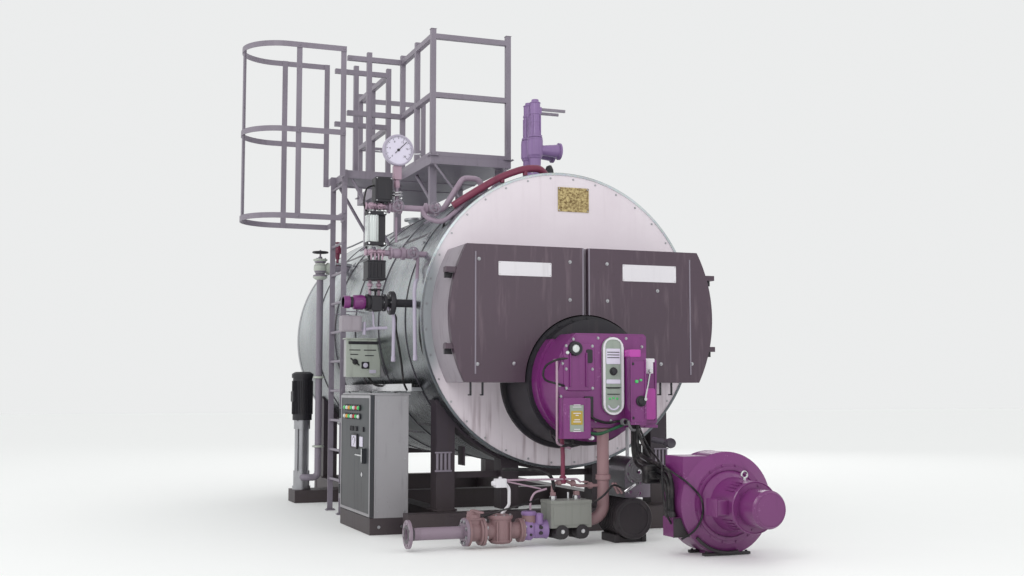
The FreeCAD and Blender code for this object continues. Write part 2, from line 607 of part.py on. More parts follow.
RUNG_COUNT = 1 + int((SIZES["deck_top"] - SIZES["rung_first"]) // SIZES["rung_pitch"])
rungs = [rod("y", ("ladder_x", f"rung_first + {number} * rung_pitch"), "ladder_near", "ladder_far",
             "rung_radius") for number in range(RUNG_COUNT)]
HOOP_LOW = "(deck_top - low_hoop_drop)"
HOOP_MID = "(deck_top + mid_hoop_rise)"
HOOP_TOP = "(deck_top + top_hoop_rise)"
NECK = "(deck_top - neck_drop)"
node("ladder", fuse(stringer("ladder_near"), stringer("ladder_far"), *rungs))


def hoop_block(low, grow):
    """A hoop's outline seen from above, as a block: a half disc and the straight arms to the ladder."""
    high = f"{low} + hoop_height"
    disc = rod("z", ("cage_x", "cage_y"), low, high, f"cage_radius + {grow}")
    arms = box("cage_x", "ladder_x - stringer / 2", f"cage_y - cage_radius - {grow}",
               f"cage_y + cage_radius + {grow}", low, high)
    half = box("cage_x - cage_radius - 50", "cage_x + 1", "cage_y - cage_radius - 50",
               "cage_y + cage_radius + 50", low, high)
    return fuse(common(disc, half), arms)


def hoop(low):
    return cut(hoop_block(low, "cage_thick"), hoop_block(low, "0"))


def end_strap(side):
    """A flat from the lowest hoop's arm to a stringer of the ladder."""
    ends = {-1: ("cage_y - cage_radius - cage_thick", "ladder_near + stringer_thick"),
            1: ("ladder_far", "cage_y + cage_radius + cage_thick")}[side]
    return box("ladder_x - stringer / 2 - cage_thick", "ladder_x - stringer / 2", *ends,
               HOOP_LOW, f"{HOOP_LOW} + hoop_height")


node("cage_hoops", fuse(hoop(HOOP_LOW), end_strap(-1), end_strap(1)), hoop(HOOP_MID), hoop(HOOP_TOP))

BAR_RISE = f"{HOOP_TOP} + hoop_height"
crown_bar = box("cage_x - cage_radius + cage_bar * cage_bar / (8 * cage_radius)",
                "cage_x - cage_radius + cage_bar * cage_bar / (8 * cage_radius) + cage_thick",
                "cage_y - cage_bar / 2", "cage_y + cage_bar / 2", HOOP_LOW, BAR_RISE)


def arm_bar(side, left, low):
    """A flat bar inside the hoops' straight arms, on the near (-1) or far (1) side."""
    ends = {-1: ("cage_y - cage_radius", "cage_y - cage_radius + cage_thick"),
            1: ("cage_y + cage_radius - cage_thick", "cage_y + cage_radius")}[side]
    return box(left, f"{left} + cage_bar", *ends, low, BAR_RISE)


def gate_post(side):
    """The bar beside the landing, with the neck plate that joins it to a stringer."""
    left = "ladder_x - stringer / 2 - cage_bar"
    ends = {-1: ("cage_y - cage_radius", "ladder_near + stringer_thick"),
            1: ("ladder_far", "cage_y + cage_radius")}[side]
    neck = box("ladder_x - stringer / 2 - cage_thick", "ladder_x - stringer / 2", *ends,
               NECK, f"{NECK} + neck_height")
    return fuse(arm_bar(side, left, NECK), neck)


node("cage_bars", crown_bar, *[arm_bar(side, "arm_bar_x", HOOP_LOW) for side in (-1, 1)],
     *[gate_post(side) for side in (-1, 1)])

DECK_LOW = "deck_top - deck_thick"
node("platform_deck", fuse(
    box("deck_left", "deck_right", "deck_near", "deck_far", DECK_LOW, "deck_top"),
    box("ladder_x + stringer / 2", "deck_left", "landing_near", "landing_far", DECK_LOW, "deck_top")))


def support(x, y):
    """A post from the shell up to the deck."""
    half = "support_post / 2"
    post = box(f"{x} - {half}", f"{x} + {half}", f"{y} - {half}", f"{y} + {half}", "axis_z", DECK_LOW)
    return cut(post, shell_cylinder())


node("platform_supports", *[support(x, f"deck_near + {step}") for step in (150, 1300, 2500)
                            for x in ("deck_left + 60", "deck_right - 60")])


RAIL_HEIGHTS = ("deck_top + rail_rise", "deck_top + mid_rail_rise")


def post(x, y):
    return box(x, f"{x} + post", y, f"{y} + post", "deck_top", f"{RAIL_HEIGHTS[0]} + post_tip")


def rails_x(x0, x1, y):
    """Top and middle rail along X."""
    return [box(x0, x1, y, f"{y} + post", f"{height} - post", height)
            for height in RAIL_HEIGHTS]


def rails_y(x, y0, y1):
    """Top and middle rail along Y."""
    return [box(x, f"{x} + post", y0, y1, f"{height} - post", height)
            for height in RAIL_HEIGHTS]


RIGHT_POST = "deck_right - post"
REAR_RAIL = "deck_far - post"
LANDING_END = "ladder_x + stringer / 2"
node("rails_across",
     fuse(post("deck_left", "deck_near"), post(RIGHT_POST, "deck_near"),
          *rails_x("deck_left", "deck_right", "deck_near")),
     fuse(post("deck_left", REAR_RAIL), post(RIGHT_POST, REAR_RAIL),
          *rails_x("deck_left", "deck_right", REAR_RAIL)),
     fuse(post("deck_left - 330", "landing_near"), post("deck_left", "landing_near"),
          *rails_x(LANDING_END, "deck_left + post", "landing_near")),
     fuse(post("deck_left - 330", "landing_far - post"), post("deck_left", "landing_far - post"),
          *rails_x(LANDING_END, "deck_left + post", "landing_far - post")))
node("rails_along",
     fuse(*rails_y("deck_left", "deck_near + post", "landing_near"),
          post("deck_left", "(deck_near + landing_near) / 2")),
     fuse(*rails_y("deck_left", "landing_far", REAR_RAIL),
          post("deck_left", "(landing_far + deck_far) / 2")))


# Safety valves and steam outlet ------------------------------------------------------------------
VALVE_FLANGE = f"{CROWN} + valve_flange_rise"
OUTLET_Z = f"{CROWN} + valve_outlet_rise"
VALVE_TOP = f"{CROWN} + valve_rise"
LEVER_Z = f"{CROWN} + lever_rise"


def safety_valve(y):
    """A flanged spring valve on a stub, its outlet flared towards +X."""
    column = turned("z", ("0", y), "0", [
        (f"{CROWN} - 20", "0"), (f"{CROWN} - 20", "44"), (f"{VALVE_FLANGE} - 20", "44"),
        (f"{VALVE_FLANGE} - 20", "70"), (f"{VALVE_FLANGE} + 24", "70"), (f"{VALVE_FLANGE} + 24", "50"),
        (f"{OUTLET_Z} - 80", "50"), (f"{OUTLET_Z} - 50", "68"), (f"{OUTLET_Z} + 80", "68"),
        (f"{OUTLET_Z} + 100", "52"), (f"{OUTLET_Z} + 200", "45"), (f"{VALVE_TOP} - 30", "45"),
        (f"{VALVE_TOP} - 30", "36"), (VALVE_TOP, "30"), (VALVE_TOP, "0")])
    outlet = cone("x", (y, OUTLET_Z), "0", "valve_outlet_reach", "36", "62")
    mouth = rod("x", (y, OUTLET_Z), "valve_outlet_reach - 18", "valve_outlet_reach", "70")
    bar = box("lever_pivot - lever_half", "lever_pivot + lever_half", f"{y} - 32", f"{y} + 32",
              f"{LEVER_Z} - 40", f"{LEVER_Z} + 14")
    slot = box("lever_pivot - 30", "lever_reach", f"{y} - lever_half - 2", f"{y} + lever_half + 2",
               f"{LEVER_Z} - 42", f"{VALVE_TOP} + 10")
    pin = rod("y", ("lever_pivot", LEVER_Z), f"{y} - 32", f"{y} + 32", "lever_pin")
    return fuse(cut(cut(fuse(column, outlet, mouth, bar), slot), shell_cylinder()), pin)


def relief_lever(y):
    """The lifting lever on its cross pin."""
    bar = box("lever_pivot - 16", "lever_reach", f"{y} - lever_half", f"{y} + lever_half",
              f"{LEVER_Z} - 12", f"{LEVER_Z} + 12")
    hole = rod("y", ("lever_pivot", LEVER_Z), f"{y} - 20", f"{y} + 20", "lever_pin + pin_clearance")
    return cut(bar, hole)


VALVE_FAR = "(valve_near + valve_pitch)"
node("safety_valves", safety_valve("valve_near"), safety_valve(VALVE_FAR))
node("relief_lever_front", relief_lever("valve_near"))
node("relief_lever_rear", relief_lever(VALVE_FAR))

STEAM = ("0", "steam_y")
STEAM_TOP = f"{CROWN} + steam_height"
steam_flange = cut(rod("z", STEAM, f"{STEAM_TOP} - steam_flange_thick", STEAM_TOP, "steam_flange"),
                   *bolt_holes("z", STEAM, f"{STEAM_TOP} - steam_flange_thick", STEAM_TOP,
                               "steam_bolt_circle", "steam_bolt_radius", 8))
node("steam_outlet", cut(
    fuse(cut(rod("z", STEAM, f"{CROWN} - 50", f"{STEAM_TOP} - 1", "steam_pipe"),
             shell_cylinder()), steam_flange),
    rod("z", STEAM, f"{CROWN} + steam_seat", f"{STEAM_TOP} + 1", "steam_bore")))


# Level fittings ----------------------------------------------------------------------------------
def steam_branch():
    """The steam connection of the level gauges, from the shell's crown down to a level line."""
    s = sheet
    y = s.level_y
    crown = s.axis_z + s.shell_radius - s.steam_crown_drop
    run = bent([(s.steam_entry_x, y, s.axis_z), (s.steam_entry_x, y, crown),
                (s.steam_entry_x - 160, y, crown), (s.steam_entry_x - 330, y, s.steam_line_z),
                (s.line_left, y, s.steam_line_z)], s.line_radius, s.line_bend)
    return cut(run, shell_cylinder())


steam_line = steam_branch()
water_line = cut(rod("x", ("level_y", "water_line_z"), "line_left", "-shell_radius / 2", "line_radius"),
                 shell_cylinder())
gauge = turned("y", ("gauge_x", "gauge_z"), "level_y + gauge_stem", [
    ("0", "0"), ("0", "gauge_radius - 12"), ("12 - gauge_depth", "gauge_radius - 4"),
    ("12 - gauge_depth", "gauge_radius"), ("0 - gauge_depth", "gauge_radius"), ("0 - gauge_depth", "0")])
gauge_riser = cut(rod("z", ("gauge_x", "level_y"), "steam_line_z", "gauge_z - gauge_radius + 20",
                      "gauge_stem"), gauge)
node("level_pipework", fuse(steam_line, gauge_riser), water_line)
node("pressure_gauge", gauge)


def stem(x, low, high, line):
    """A short vertical pipe at level_y that ends on a horizontal line."""
    return cut(rod("z", (x, "level_y"), low, high, "gauge_stem"), line)


GLASS = ("glass_x - glass_half", "glass_x + glass_half")
STEMS = ("glass_x - glass_half / 2", "glass_x + glass_half / 2")
node("gauge_glasses", fuse(
    box(*GLASS, "level_y - glass_depth / 2", "level_y + glass_depth / 2", "glass_bottom", "glass_top"),
    *[stem(x, "glass_top", "steam_line_z", steam_line) for x in STEMS],
    *[stem(x, "water_line_z", "glass_bottom", water_line) for x in STEMS]))
node("level_controllers", fuse(
    box(*GLASS, "level_y - glass_depth", "level_y + glass_depth", "pot_bottom", "pot_top"),
    *[stem(x, "pot_top", "water_line_z", water_line) for x in STEMS]))
node("switch_box", fuse(
    box("switch_left", "switch_right", "level_y - switch_depth / 2", "level_y + switch_depth / 2",
        "switch_bottom", "switch_top"),
    stem("(switch_left + switch_right) / 2", "steam_line_z", "switch_bottom", steam_line)))
BLOW = ("level_y", "blow_z")
node("blowdown_valve", cut(fuse(
    rod("x", BLOW, "blow_left", "blow_mid", "blow_radius - 12"),
    rod("x", BLOW, "blow_mid", "blow_right", "blow_radius"),
    rod("x", BLOW, "blow_right + 30", "blow_right + 60", "blow_radius + 28"),
    rod("x", BLOW, "blow_right", "50 - shell_radius", "line_radius + 8")), shell_cylinder()))


# Instrument box and cable tray -------------------------------------------------------------------
node("instrument_box", cut(
    box("box_x", "-shell_radius / 2", "box_y", "box_y + instrument_depth", "box_z",
        "box_z + instrument_height"), shell_cylinder()))
node("cable_tray", cut(
    box("tray_x", "-shell_radius / 2", "tray_near", "tray_far", "tray_z", "tray_z + tray_height"),
    shell_cylinder("band_thick")))


# Feed pump, pipe and valve -----------------------------------------------------------------------
PUMP = ("pump_x", "pump_y")
node("feed_pump", turned("z", PUMP, "0", [
    ("pump_stand", "0"), ("pump_stand", "pump_radius + 10"), ("pump_stand + 36", "pump_radius + 10"),
    ("pump_stand + 36", "pump_radius"), ("pump_stand + 190", "pump_radius"),
    ("pump_stand + 190", "pump_radius - 14"), ("pump_head - 90", "pump_radius - 14"),
    ("pump_head - 90", "pump_radius"), ("pump_head", "pump_radius"),
    ("pump_head", "0")]))
node("feed_pump_motor", turned("z", PUMP, "0", [
    ("pump_head", "0"), ("pump_head", "pump_motor_radius"), ("pump_top - 60", "pump_motor_radius"),
    ("pump_top - 60", "pump_motor_radius + 12"), ("pump_top - 20", "pump_motor_radius + 12"),
    ("pump_top", "pump_motor_radius - 20"), ("pump_top", "0")]))


def feed_pipe():
    """The riser from the pump up the side of the boiler, with its valve and branch to the shell."""
    s = sheet
    run = bent([(s.pump_x, s.pump_y - s.pump_radius + 15, s.feed_z),
                (s.pump_x, s.feed_y, s.feed_z), (s.feed_x, s.feed_y, s.feed_z),
                (s.feed_x, s.feed_y, s.feed_valve_z - 90)], s.feed_radius, 55)
    body = turned("z", ("feed_x", "feed_y"), "0", [
        ("feed_valve_z - 90", "0"), ("feed_valve_z - 90", "72"), ("feed_valve_z - 72", "72"),
        ("feed_valve_z - 60", "44"), ("feed_valve_z - 30", "62"), ("feed_valve_z + 30", "62"),
        ("feed_valve_z + 50", "40"), ("feed_valve_z + 60", "58"), ("feed_valve_z + 76", "58"),
        ("feed_valve_z + 84", "26"), ("feed_valve_top", "20"), ("feed_valve_top", "0")])
    branch = rod("x", ("feed_y", "feed_valve_z"), "feed_x", "-shell_radius / 2", "feed_radius")
    spindle = rod("z", ("feed_x", "feed_y"), "feed_valve_z", "feed_wheel_z + 24", "spindle_radius")
    return run, cut(branch, shell_cylinder()), body, spindle


node("feed_pipe", cut(fuse(*feed_pipe()), nodes["feed_pump"]))


def handwheel(x, y, z, radius, rim, bore):
    """A rim on four spokes and a hub, turning about Z."""
    spokes = [rod("x", (y, z), f"{x} - {radius}", f"{x} + {radius}", f"{rim} * 0.6"),
              rod("y", (x, z), f"{y} - {radius}", f"{y} + {radius}", f"{rim} * 0.6")]
    hub = rod("z", (x, y), f"{z} - {rim} * 1.5", f"{z} + {rim} * 1.5", f"{bore} + {rim}")
    hole = rod("z", (x, y), f"{z} - {rim} * 2", f"{z} + {rim} * 2", f"{bore} + pin_clearance")
    return cut(fuse(ring("z", (x, y), z, radius, rim), hub, *spokes), hole)


node("feed_valve_wheel", handwheel("feed_x", "feed_y", "feed_wheel_z", "feed_wheel_radius",
                                   "feed_wheel_rim", "spindle_radius"))
node("burner_cables", *cables())


# Check and write ---------------------------------------------------------------------------------
doc.recompute()
faults = [f"{item.Label}: {item.State}" for item in doc.Objects
          if "Invalid" in item.State or "Error" in item.State]
faults += [f"{name}: shape" for name, item in nodes.items()
           if item.Shape.isNull() or not item.Shape.isValid()]
if faults:
    raise RuntimeError("\n".join(faults))
os.makedirs("parts", exist_ok=True)
for name, item in nodes.items():
    item.Shape.exportStep(f"parts/{name}.step")
    print(name, len(item.Shape.Solids), round(item.Shape.Volume / 1e9, 5))
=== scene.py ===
"""The looks of a packaged fire-tube boiler: cladding, paint, fittings, fasteners, cables and gauges."""
import json
from math import radians

import bmesh
import bpy
import numpy as np
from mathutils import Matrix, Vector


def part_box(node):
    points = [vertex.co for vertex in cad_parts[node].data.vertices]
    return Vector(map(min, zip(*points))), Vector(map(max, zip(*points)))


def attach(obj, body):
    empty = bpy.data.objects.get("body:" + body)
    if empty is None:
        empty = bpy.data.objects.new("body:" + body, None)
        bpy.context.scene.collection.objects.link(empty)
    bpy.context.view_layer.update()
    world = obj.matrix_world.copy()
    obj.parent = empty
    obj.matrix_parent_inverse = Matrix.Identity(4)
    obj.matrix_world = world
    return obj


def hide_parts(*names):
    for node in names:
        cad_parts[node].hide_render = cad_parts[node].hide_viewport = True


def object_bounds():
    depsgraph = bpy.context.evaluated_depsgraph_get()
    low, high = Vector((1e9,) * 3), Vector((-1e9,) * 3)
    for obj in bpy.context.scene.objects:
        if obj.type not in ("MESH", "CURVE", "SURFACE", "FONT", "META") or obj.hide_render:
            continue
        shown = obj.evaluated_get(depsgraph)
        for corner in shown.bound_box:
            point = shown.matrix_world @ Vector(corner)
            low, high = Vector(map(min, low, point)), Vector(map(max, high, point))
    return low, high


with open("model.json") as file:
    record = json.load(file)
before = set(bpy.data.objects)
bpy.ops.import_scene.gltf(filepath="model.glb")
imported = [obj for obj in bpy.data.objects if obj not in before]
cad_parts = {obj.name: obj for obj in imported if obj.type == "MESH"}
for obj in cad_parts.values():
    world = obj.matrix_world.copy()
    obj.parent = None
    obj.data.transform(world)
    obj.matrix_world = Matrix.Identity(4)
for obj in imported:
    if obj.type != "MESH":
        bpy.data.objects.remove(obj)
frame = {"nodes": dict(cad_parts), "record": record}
cad_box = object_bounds()
TURN = 2 * np.pi
BEND_STEPS = 7  # points round each bend of a pipe
WHEEL_SPOKES = 4
WHEEL_STEPS = 28
BAND_COUNT = 5


# ---------------------------------------------------------------- places

class Place:
    """Where a CAD node is: its corners x0, y0, z0 and x1, y1, z1 and its middle x, y, z, in metres."""

    def __init__(self, name):
        low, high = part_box(name)
        self.x0, self.y0, self.z0 = low
        self.x1, self.y1, self.z1 = high
        self.x, self.y, self.z = (low + high) / 2


at = {name: Place(name) for name in frame["nodes"]}
AXES = {"x": (1, 2, 0), "y": (0, 2, 1), "z": (0, 1, 2)}


# ---------------------------------------------------------------- outlines, two numbers a point

def circle(across, up, radius, steps=32):
    """Centre plus radius times (cos, sin) of equal steps of a turn."""
    angle = np.arange(steps) * TURN / steps
    return np.stack([across + radius * np.cos(angle), up + radius * np.sin(angle)], 1)


def rounded(left, right, bottom, top, radius=0.004, steps=4):
    """A rectangle whose corners are quarter circles: corner centre plus radius times (cos, sin)."""
    angle = np.linspace(0, np.pi / 2, steps + 1) + np.arange(4)[:, None] * np.pi / 2
    centres = np.array([(right - radius, top - radius), (left + radius, top - radius),
                        (left + radius, bottom + radius), (right - radius, bottom + radius)])
    return (centres[:, None] + radius * np.stack([np.cos(angle), np.sin(angle)], -1)).reshape(-1, 2)


# ---------------------------------------------------------------- parts: points, corner list, face sizes

def lay(across, up, along, axis):
    """Points from two numbers across the named axis and one along it."""
    values = np.broadcast_arrays(across, up, along)
    points = np.empty(values[0].shape + (3,))
    for place, value in zip(AXES[axis], values):
        points[..., place] = value
    return points


def skin(rows, looped=False):
    """The faces of a grid of points: each point joins the next in its row and those above both.
    Rows close on themselves; the last row joins the first when looped, or else both get a cap."""
    rows = np.asarray(rows, float)
    index = np.arange(rows.shape[0] * rows.shape[1]).reshape(rows.shape[:2])
    if looped:
        index = np.concatenate([index, index[:1]])
    index = np.concatenate([index, index[:, :1]], 1)
    quads = np.stack([index[:-1, :-1], index[:-1, 1:], index[1:, 1:], index[1:, :-1]], -1).reshape(-1, 4)
    corners, sizes = [quads.ravel()], [np.full(len(quads), 4)]
    if not looped:
        corners += [index[0, -2::-1], index[-1, :-1]]
        sizes.append(np.full(2, rows.shape[1]))
    return rows.reshape(-1, 3), np.concatenate(corners), np.concatenate(sizes)


def joined(*parts):
    """Several parts as one: each part's corner numbers go up by the count of points before it."""
    before = np.cumsum([0] + [len(points) for points, _, _ in parts])
    return (np.concatenate([points for points, _, _ in parts]),
            np.concatenate([corners + start for (_, corners, _), start in zip(parts, before)]),
            np.concatenate([sizes for _, _, sizes in parts]))


def copies(part, places):
    """A part at many places: its points plus each place."""
    points, corners, sizes = part
    places = np.atleast_2d(np.asarray(places, float))
    shift = np.arange(len(places))[:, None] * len(points)
    return ((points + places[:, None]).reshape(-1, 3), (corners + shift).ravel(), np.tile(sizes, len(places)))


def prism(outline, axis, low, high, edge=0.002):
    """An outline carried along an axis. At both ends it is drawn in by the edge size along its normals,
    which are its tangents turned a quarter."""
    outline = np.asarray(outline, float)
    tangent = np.roll(outline, -1, 0) - np.roll(outline, 1, 0)
    inward = np.stack([-tangent[:, 1], tangent[:, 0]], 1) / np.linalg.norm(tangent, axis=1, keepdims=True)
    drawn = outline + edge * inward
    low, high = min(low, high), max(low, high)
    return skin([lay(*shape.T, height, axis) for shape, height in
                 ((drawn, low), (outline, low + edge), (outline, high - edge), (drawn, high))])


# The places that a helper is given count from its base, if it is given one.

def tile(axis, left, right, bottom, top, radius, low, high, edge=0.002, base=(0, 0, 0)):
    """A plate with rounded corners, square to the axis."""
    outline = rounded(left + base[0], right + base[0], bottom + base[1], top + base[1], radius)
    return prism(outline, axis, low + base[2], high + base[2], edge)


def block(x0, x1, y0, y1, z0, z1, edge=0.003, base=(0, 0, 0)):
    """A box with rounded upright edges and chamfered ends."""
    (x0, x1), (y0, y1), (z0, z1) = np.sort([(x0, x1), (y0, y1), (z0, z1)]) + np.reshape(base, (3, 1))
    return prism(rounded(x0, x1, y0, y1, edge, 3), "z", z0, z1, edge * 0.8)


def frame_bar(left, right, bottom, top, width, axis, low, high, corner, base=(0, 0, 0)):
    """A picture frame: the loop of four sections, outer low, outer high, inner high and inner low, joined round."""
    left, right, bottom, top = left + base[0], right + base[0], bottom + base[1], top + base[1]
    low, high = low + base[2], high + base[2]
    outer = rounded(left, right, bottom, top, corner)
    inner = rounded(left + width, right - width, bottom + width, top - width, corner * 0.6)
    return skin([lay(*outer.T, low, axis), lay(*outer.T, high, axis), lay(*inner.T, high, axis),
                 lay(*inner.T, low, axis)], looped=True)


def turned(axis, across, up, profile, steps=32, looped=False, base=0):
    """Pairs of (along, radius) swept round an axis: centre plus radius times (cos, sin) of the angle."""
    along, radius = np.array(profile, float).T[:, :, None]
    along = along + base
    angle = np.arange(steps) * TURN / steps
    return skin(lay(across + radius * np.cos(angle), up + radius * np.sin(angle), along + 0 * angle, axis),
                looped=looped)


def band(axis, across, up, low, high, inner, outer, steps):
    """A ring of square section."""
    return turned(axis, across, up, [(low, inner), (low, outer), (high, outer), (high, inner)], steps, True)


def route(points, bend=0.05):
    """Straight runs with each corner B rounded by (1-t)^2 A + 2t(1-t) B + t^2 C, from `bend` before to after."""
    points = np.asarray(points, float)
    runs = np.diff(points, axis=0)
    lengths = np.linalg.norm(runs, axis=1, keepdims=True)
    reach = np.minimum(bend, 0.49 * np.minimum(lengths[:-1], lengths[1:]))
    unit, corner = runs / lengths, points[1:-1]
    t = np.linspace(0, 1, BEND_STEPS)[None, :, None]
    before, after = (corner - unit[:-1] * reach)[:, None], (corner + unit[1:] * reach)[:, None]
    curves = (1 - t) ** 2 * before + 2 * t * (1 - t) * corner[:, None] + t ** 2 * after
    return np.concatenate([points[:1], curves.reshape(-1, 3), points[-1:]])


def tube(points, radius, sides=10):
    """A round skin along a path. The tangent crossed with the direction the path leaves least gives one normal,
    and crossed again the other; each ring is the path plus radius times (normal cos + normal sin)."""
    points = np.asarray(points, float)
    tangent = np.gradient(points, axis=0)
    tangent /= np.linalg.norm(tangent, axis=1, keepdims=True)
    side = np.cross(tangent, np.linalg.svd(tangent)[2][-1])
    side /= np.linalg.norm(side, axis=1, keepdims=True)
    up = np.cross(side, tangent)
    angle = (np.arange(sides) * TURN / sides)[None, :, None]
    radius = np.reshape(radius, (-1, 1, 1))
    return skin(points[:, None] + radius * (side[:, None] * np.cos(angle) + up[:, None] * np.sin(angle)))


def pipe(points, bend, radius, sides=10, base=(0, 0, 0)):
    """A tube along a route of points."""
    return tube(route(np.add(base, points), bend), radius, sides)


def rod(start, end, radius, sides=12, base=(0, 0, 0)):
    """A straight tube whose ends are drawn in a little."""
    start, end = np.add(base, start), np.add(base, end)
    share = np.array([0, 0.02, 0.98, 1])[:, None]
    return tube(start + share * (end - start), radius * np.array([0.86, 1, 1, 0.86]), sides)


def bolt(axis, size, out=1):
    """A hexagonal head on a washer at the origin, standing `out` along the axis."""
    washer = turned(axis, 0, 0, [(0, size * 1.25), (out * size * 0.22, size * 1.25)], 14)
    head = prism(circle(0, 0, size, 6), axis, out * size * 0.2, out * size * 0.9, size * 0.12)
    return joined(washer, head)


def bolted(axis, size, out, *ring):
    """Bolts on the places that ring_of gives."""
    return copies(bolt(axis, size, out), ring_of(axis, *ring))


def ring_of(axis, across, up, along, radius, count, start=0.0):
    """Places on a circle round an axis: centre plus radius times (cos, sin) of equal steps."""
    angle = radians(start) + np.arange(count) * TURN / count
    return lay(across + radius * np.cos(angle), up + radius * np.sin(angle), along, axis)


def piece(name, body, slot, *parts, paint=None, sharp=38):
    """A mesh object of the parts, its faces outwards, smooth except at edges sharper than the angle. Its
    material is the slot's own finish unless another is given."""
    points, corners, sizes = joined(*parts)
    mesh = bpy.data.meshes.new(name)
    mesh.vertices.add(len(points))
    mesh.vertices.foreach_set("co", points.astype(np.float32).ravel())
    mesh.loops.add(len(corners))
    mesh.loops.foreach_set("vertex_index", corners.astype(np.int32))
    mesh.polygons.add(len(sizes))
    mesh.polygons.foreach_set("loop_start", (np.cumsum(sizes) - sizes).astype(np.int32))
    mesh.update(calc_edges=True)
    work = bmesh.new()
    work.from_mesh(mesh)
    bmesh.ops.recalc_face_normals(work, faces=work.faces)
    work.to_mesh(mesh)
    work.free()
    mesh.polygons.foreach_set("use_smooth", np.ones(len(mesh.polygons), bool))
    mesh.set_sharp_from_angle(angle=radians(sharp))
    mesh.materials.append(paint or FINISH[slot])
    obj = bpy.data.objects.new(name, mesh)
    bpy.context.scene.collection.objects.link(obj)
    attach(obj, body)
    return obj


def fixed(name, slot, *parts, **looks):
    """A piece that rides on the boiler."""
    return piece(name, "boiler", slot, *parts, **looks)


# ---------------------------------------------------------------- materials

class Wire:
    """A socket's number on its way through a material; arithmetic on it adds Math nodes."""

    def __init__(self, paint, socket):
        self.paint = paint
        self.socket = socket

    def maths(self, operation, first, second):
        return self.paint.add("ShaderNodeMath", {"operation": operation}, {0: first, 1: second})

    def __add__(self, other):
        return self.maths("ADD", self, other)

    def __sub__(self, other):
        return self.maths("SUBTRACT", self, other)

    def __rsub__(self, other):
        return self.maths("SUBTRACT", other, self)

    def __mul__(self, other):
        return self.maths("MULTIPLY", self, other)

    __radd__ = __add__
    __rmul__ = __mul__

    def between(self, low, high):
        """0 below low, 1 above high and a smooth rise between."""
        return self.paint.add("ShaderNodeMapRange", {"interpolation_type": "SMOOTHSTEP"},
                              {"Value": self, "From Min": low, "From Max": high})


class Paint:
    """A material of one Principled shader. Constants are set on its sockets by name."""

    def __init__(self, name, **constants):
        self.material = bpy.data.materials.new(name)
        self.material.use_nodes = True
        self.tree = self.material.node_tree
        self.shader = self.tree.nodes["Principled BSDF"]
        for key, value in constants.items():
            self.give(self.shader.inputs[key.replace("_", " ")], value)
        self.place = self.add("ShaderNodeTexCoord", output="Object")

    def give(self, socket, value):
        """A link from a wire, or a plain value."""
        if isinstance(value, Wire):
            self.tree.links.new(value.socket, socket)
        elif isinstance(value, tuple) and socket.type == "RGBA":
            socket.default_value = (*value, 1)
        else:
            socket.default_value = value

    def add(self, kind, settings=None, sockets=None, output=0):
        """A node of any kind: its settings first, then the values or links of its sockets."""
        made = self.tree.nodes.new(kind)
        for key, value in (settings or {}).items():
            setattr(made, key, value)
        for key, value in (sockets or {}).items():
            self.give(made.inputs[key], value)
        return Wire(self, made.outputs[output])

    def noise(self, size, detail=3.0, stretch=(1, 1, 1), rough=0.55):
        """Fractal noise with features of about `size` metres, drawn out by the stretch."""
        scale = tuple(1 / (size * s) for s in stretch)
        spot = self.add("ShaderNodeVectorMath", {"operation": "MULTIPLY"}, {0: self.place, 1: scale})
        return self.add("ShaderNodeTexNoise", {}, {"Vector": spot, "Scale": 1.0, "Detail": detail,
                                                   "Roughness": rough})

    def mixed(self, factor, first, second, blend="MIX"):
        """One colour going over to the other."""
        return self.add("ShaderNodeMix", {"data_type": "RGBA", "blend_type": blend},
                        {0: factor, 6: first, 7: second}, 2)

    def height(self):
        """How high above the ground a point is."""
        return self.add("ShaderNodeSeparateXYZ", {}, {0: self.place}, 2)

    def wear(self, **varying):
        """What changes over the surface: links to the shader's sockets."""
        for key, value in varying.items():
            self.give(self.shader.inputs[key.replace("_", " ")], value)
        return self.material

    def bumped(self, height, depth, strength=1.0):
        """A normal bent by a height from 0 to 1 that stands for `depth` metres."""
        return self.add("ShaderNodeBump", {}, {"Height": height, "Distance": depth, "Strength": strength})


def srgb(red, green, blue):
    """A screen colour from 0 to 255 as light: (c / 255) to the power 2.2."""
    return tuple((c / 255) ** 2.2 for c in (red, green, blue))


def shade(colour, factor):
    """A colour times a number, kept below white."""
    return tuple(min(0.96, c * factor) for c in colour)


def coat(name, colour, rough=0.45, mottle=0.14, stains=0.25, stain=(64, 56, 52), chips=0.0, chip=(60, 46, 44),
         grime=0.25, grain=0.004, depth=0.0004, gloss=0.0):
    """Paint on sheet or castings: broad mottling, run-down stains, worn specks, grime near the ground and the
    coat's own texture."""
    paint = Paint(name, Coat_Roughness=0.12, Specular_IOR_Level=0.5)
    broad = paint.noise(0.45, 4)
    fine = paint.noise(grain, 2)
    runs = paint.noise(0.05, 3, (1, 1, 9)).between(0.52, 0.78)
    worn = (paint.noise(0.018, 5, rough=0.7) + paint.noise(0.3, 2) * 0.5).between(0.9, 0.98)
    low = 1 - paint.height().between(0.0, 0.9)
    tint = paint.mixed(broad, shade(colour, 1 - mottle), shade(colour, 1 + mottle))
    tint = paint.mixed(runs * stains, tint, srgb(*stain))
    tint = paint.mixed(low * broad * grime * 2.0, tint, srgb(70, 62, 60))
    tint = paint.mixed(worn * chips, tint, srgb(*chip))
    relief = fine * 0.6 + broad * 0.3 - worn * chips
    return paint.wear(Base_Color=tint, Roughness=broad * 0.14 + fine * 0.05 + runs * stains * 0.3 + (rough - 0.1),
                      Coat_Weight=gloss * (1 - runs * 0.5) if gloss else 0.0,
                      Normal=paint.bumped(relief, depth, 0.7))


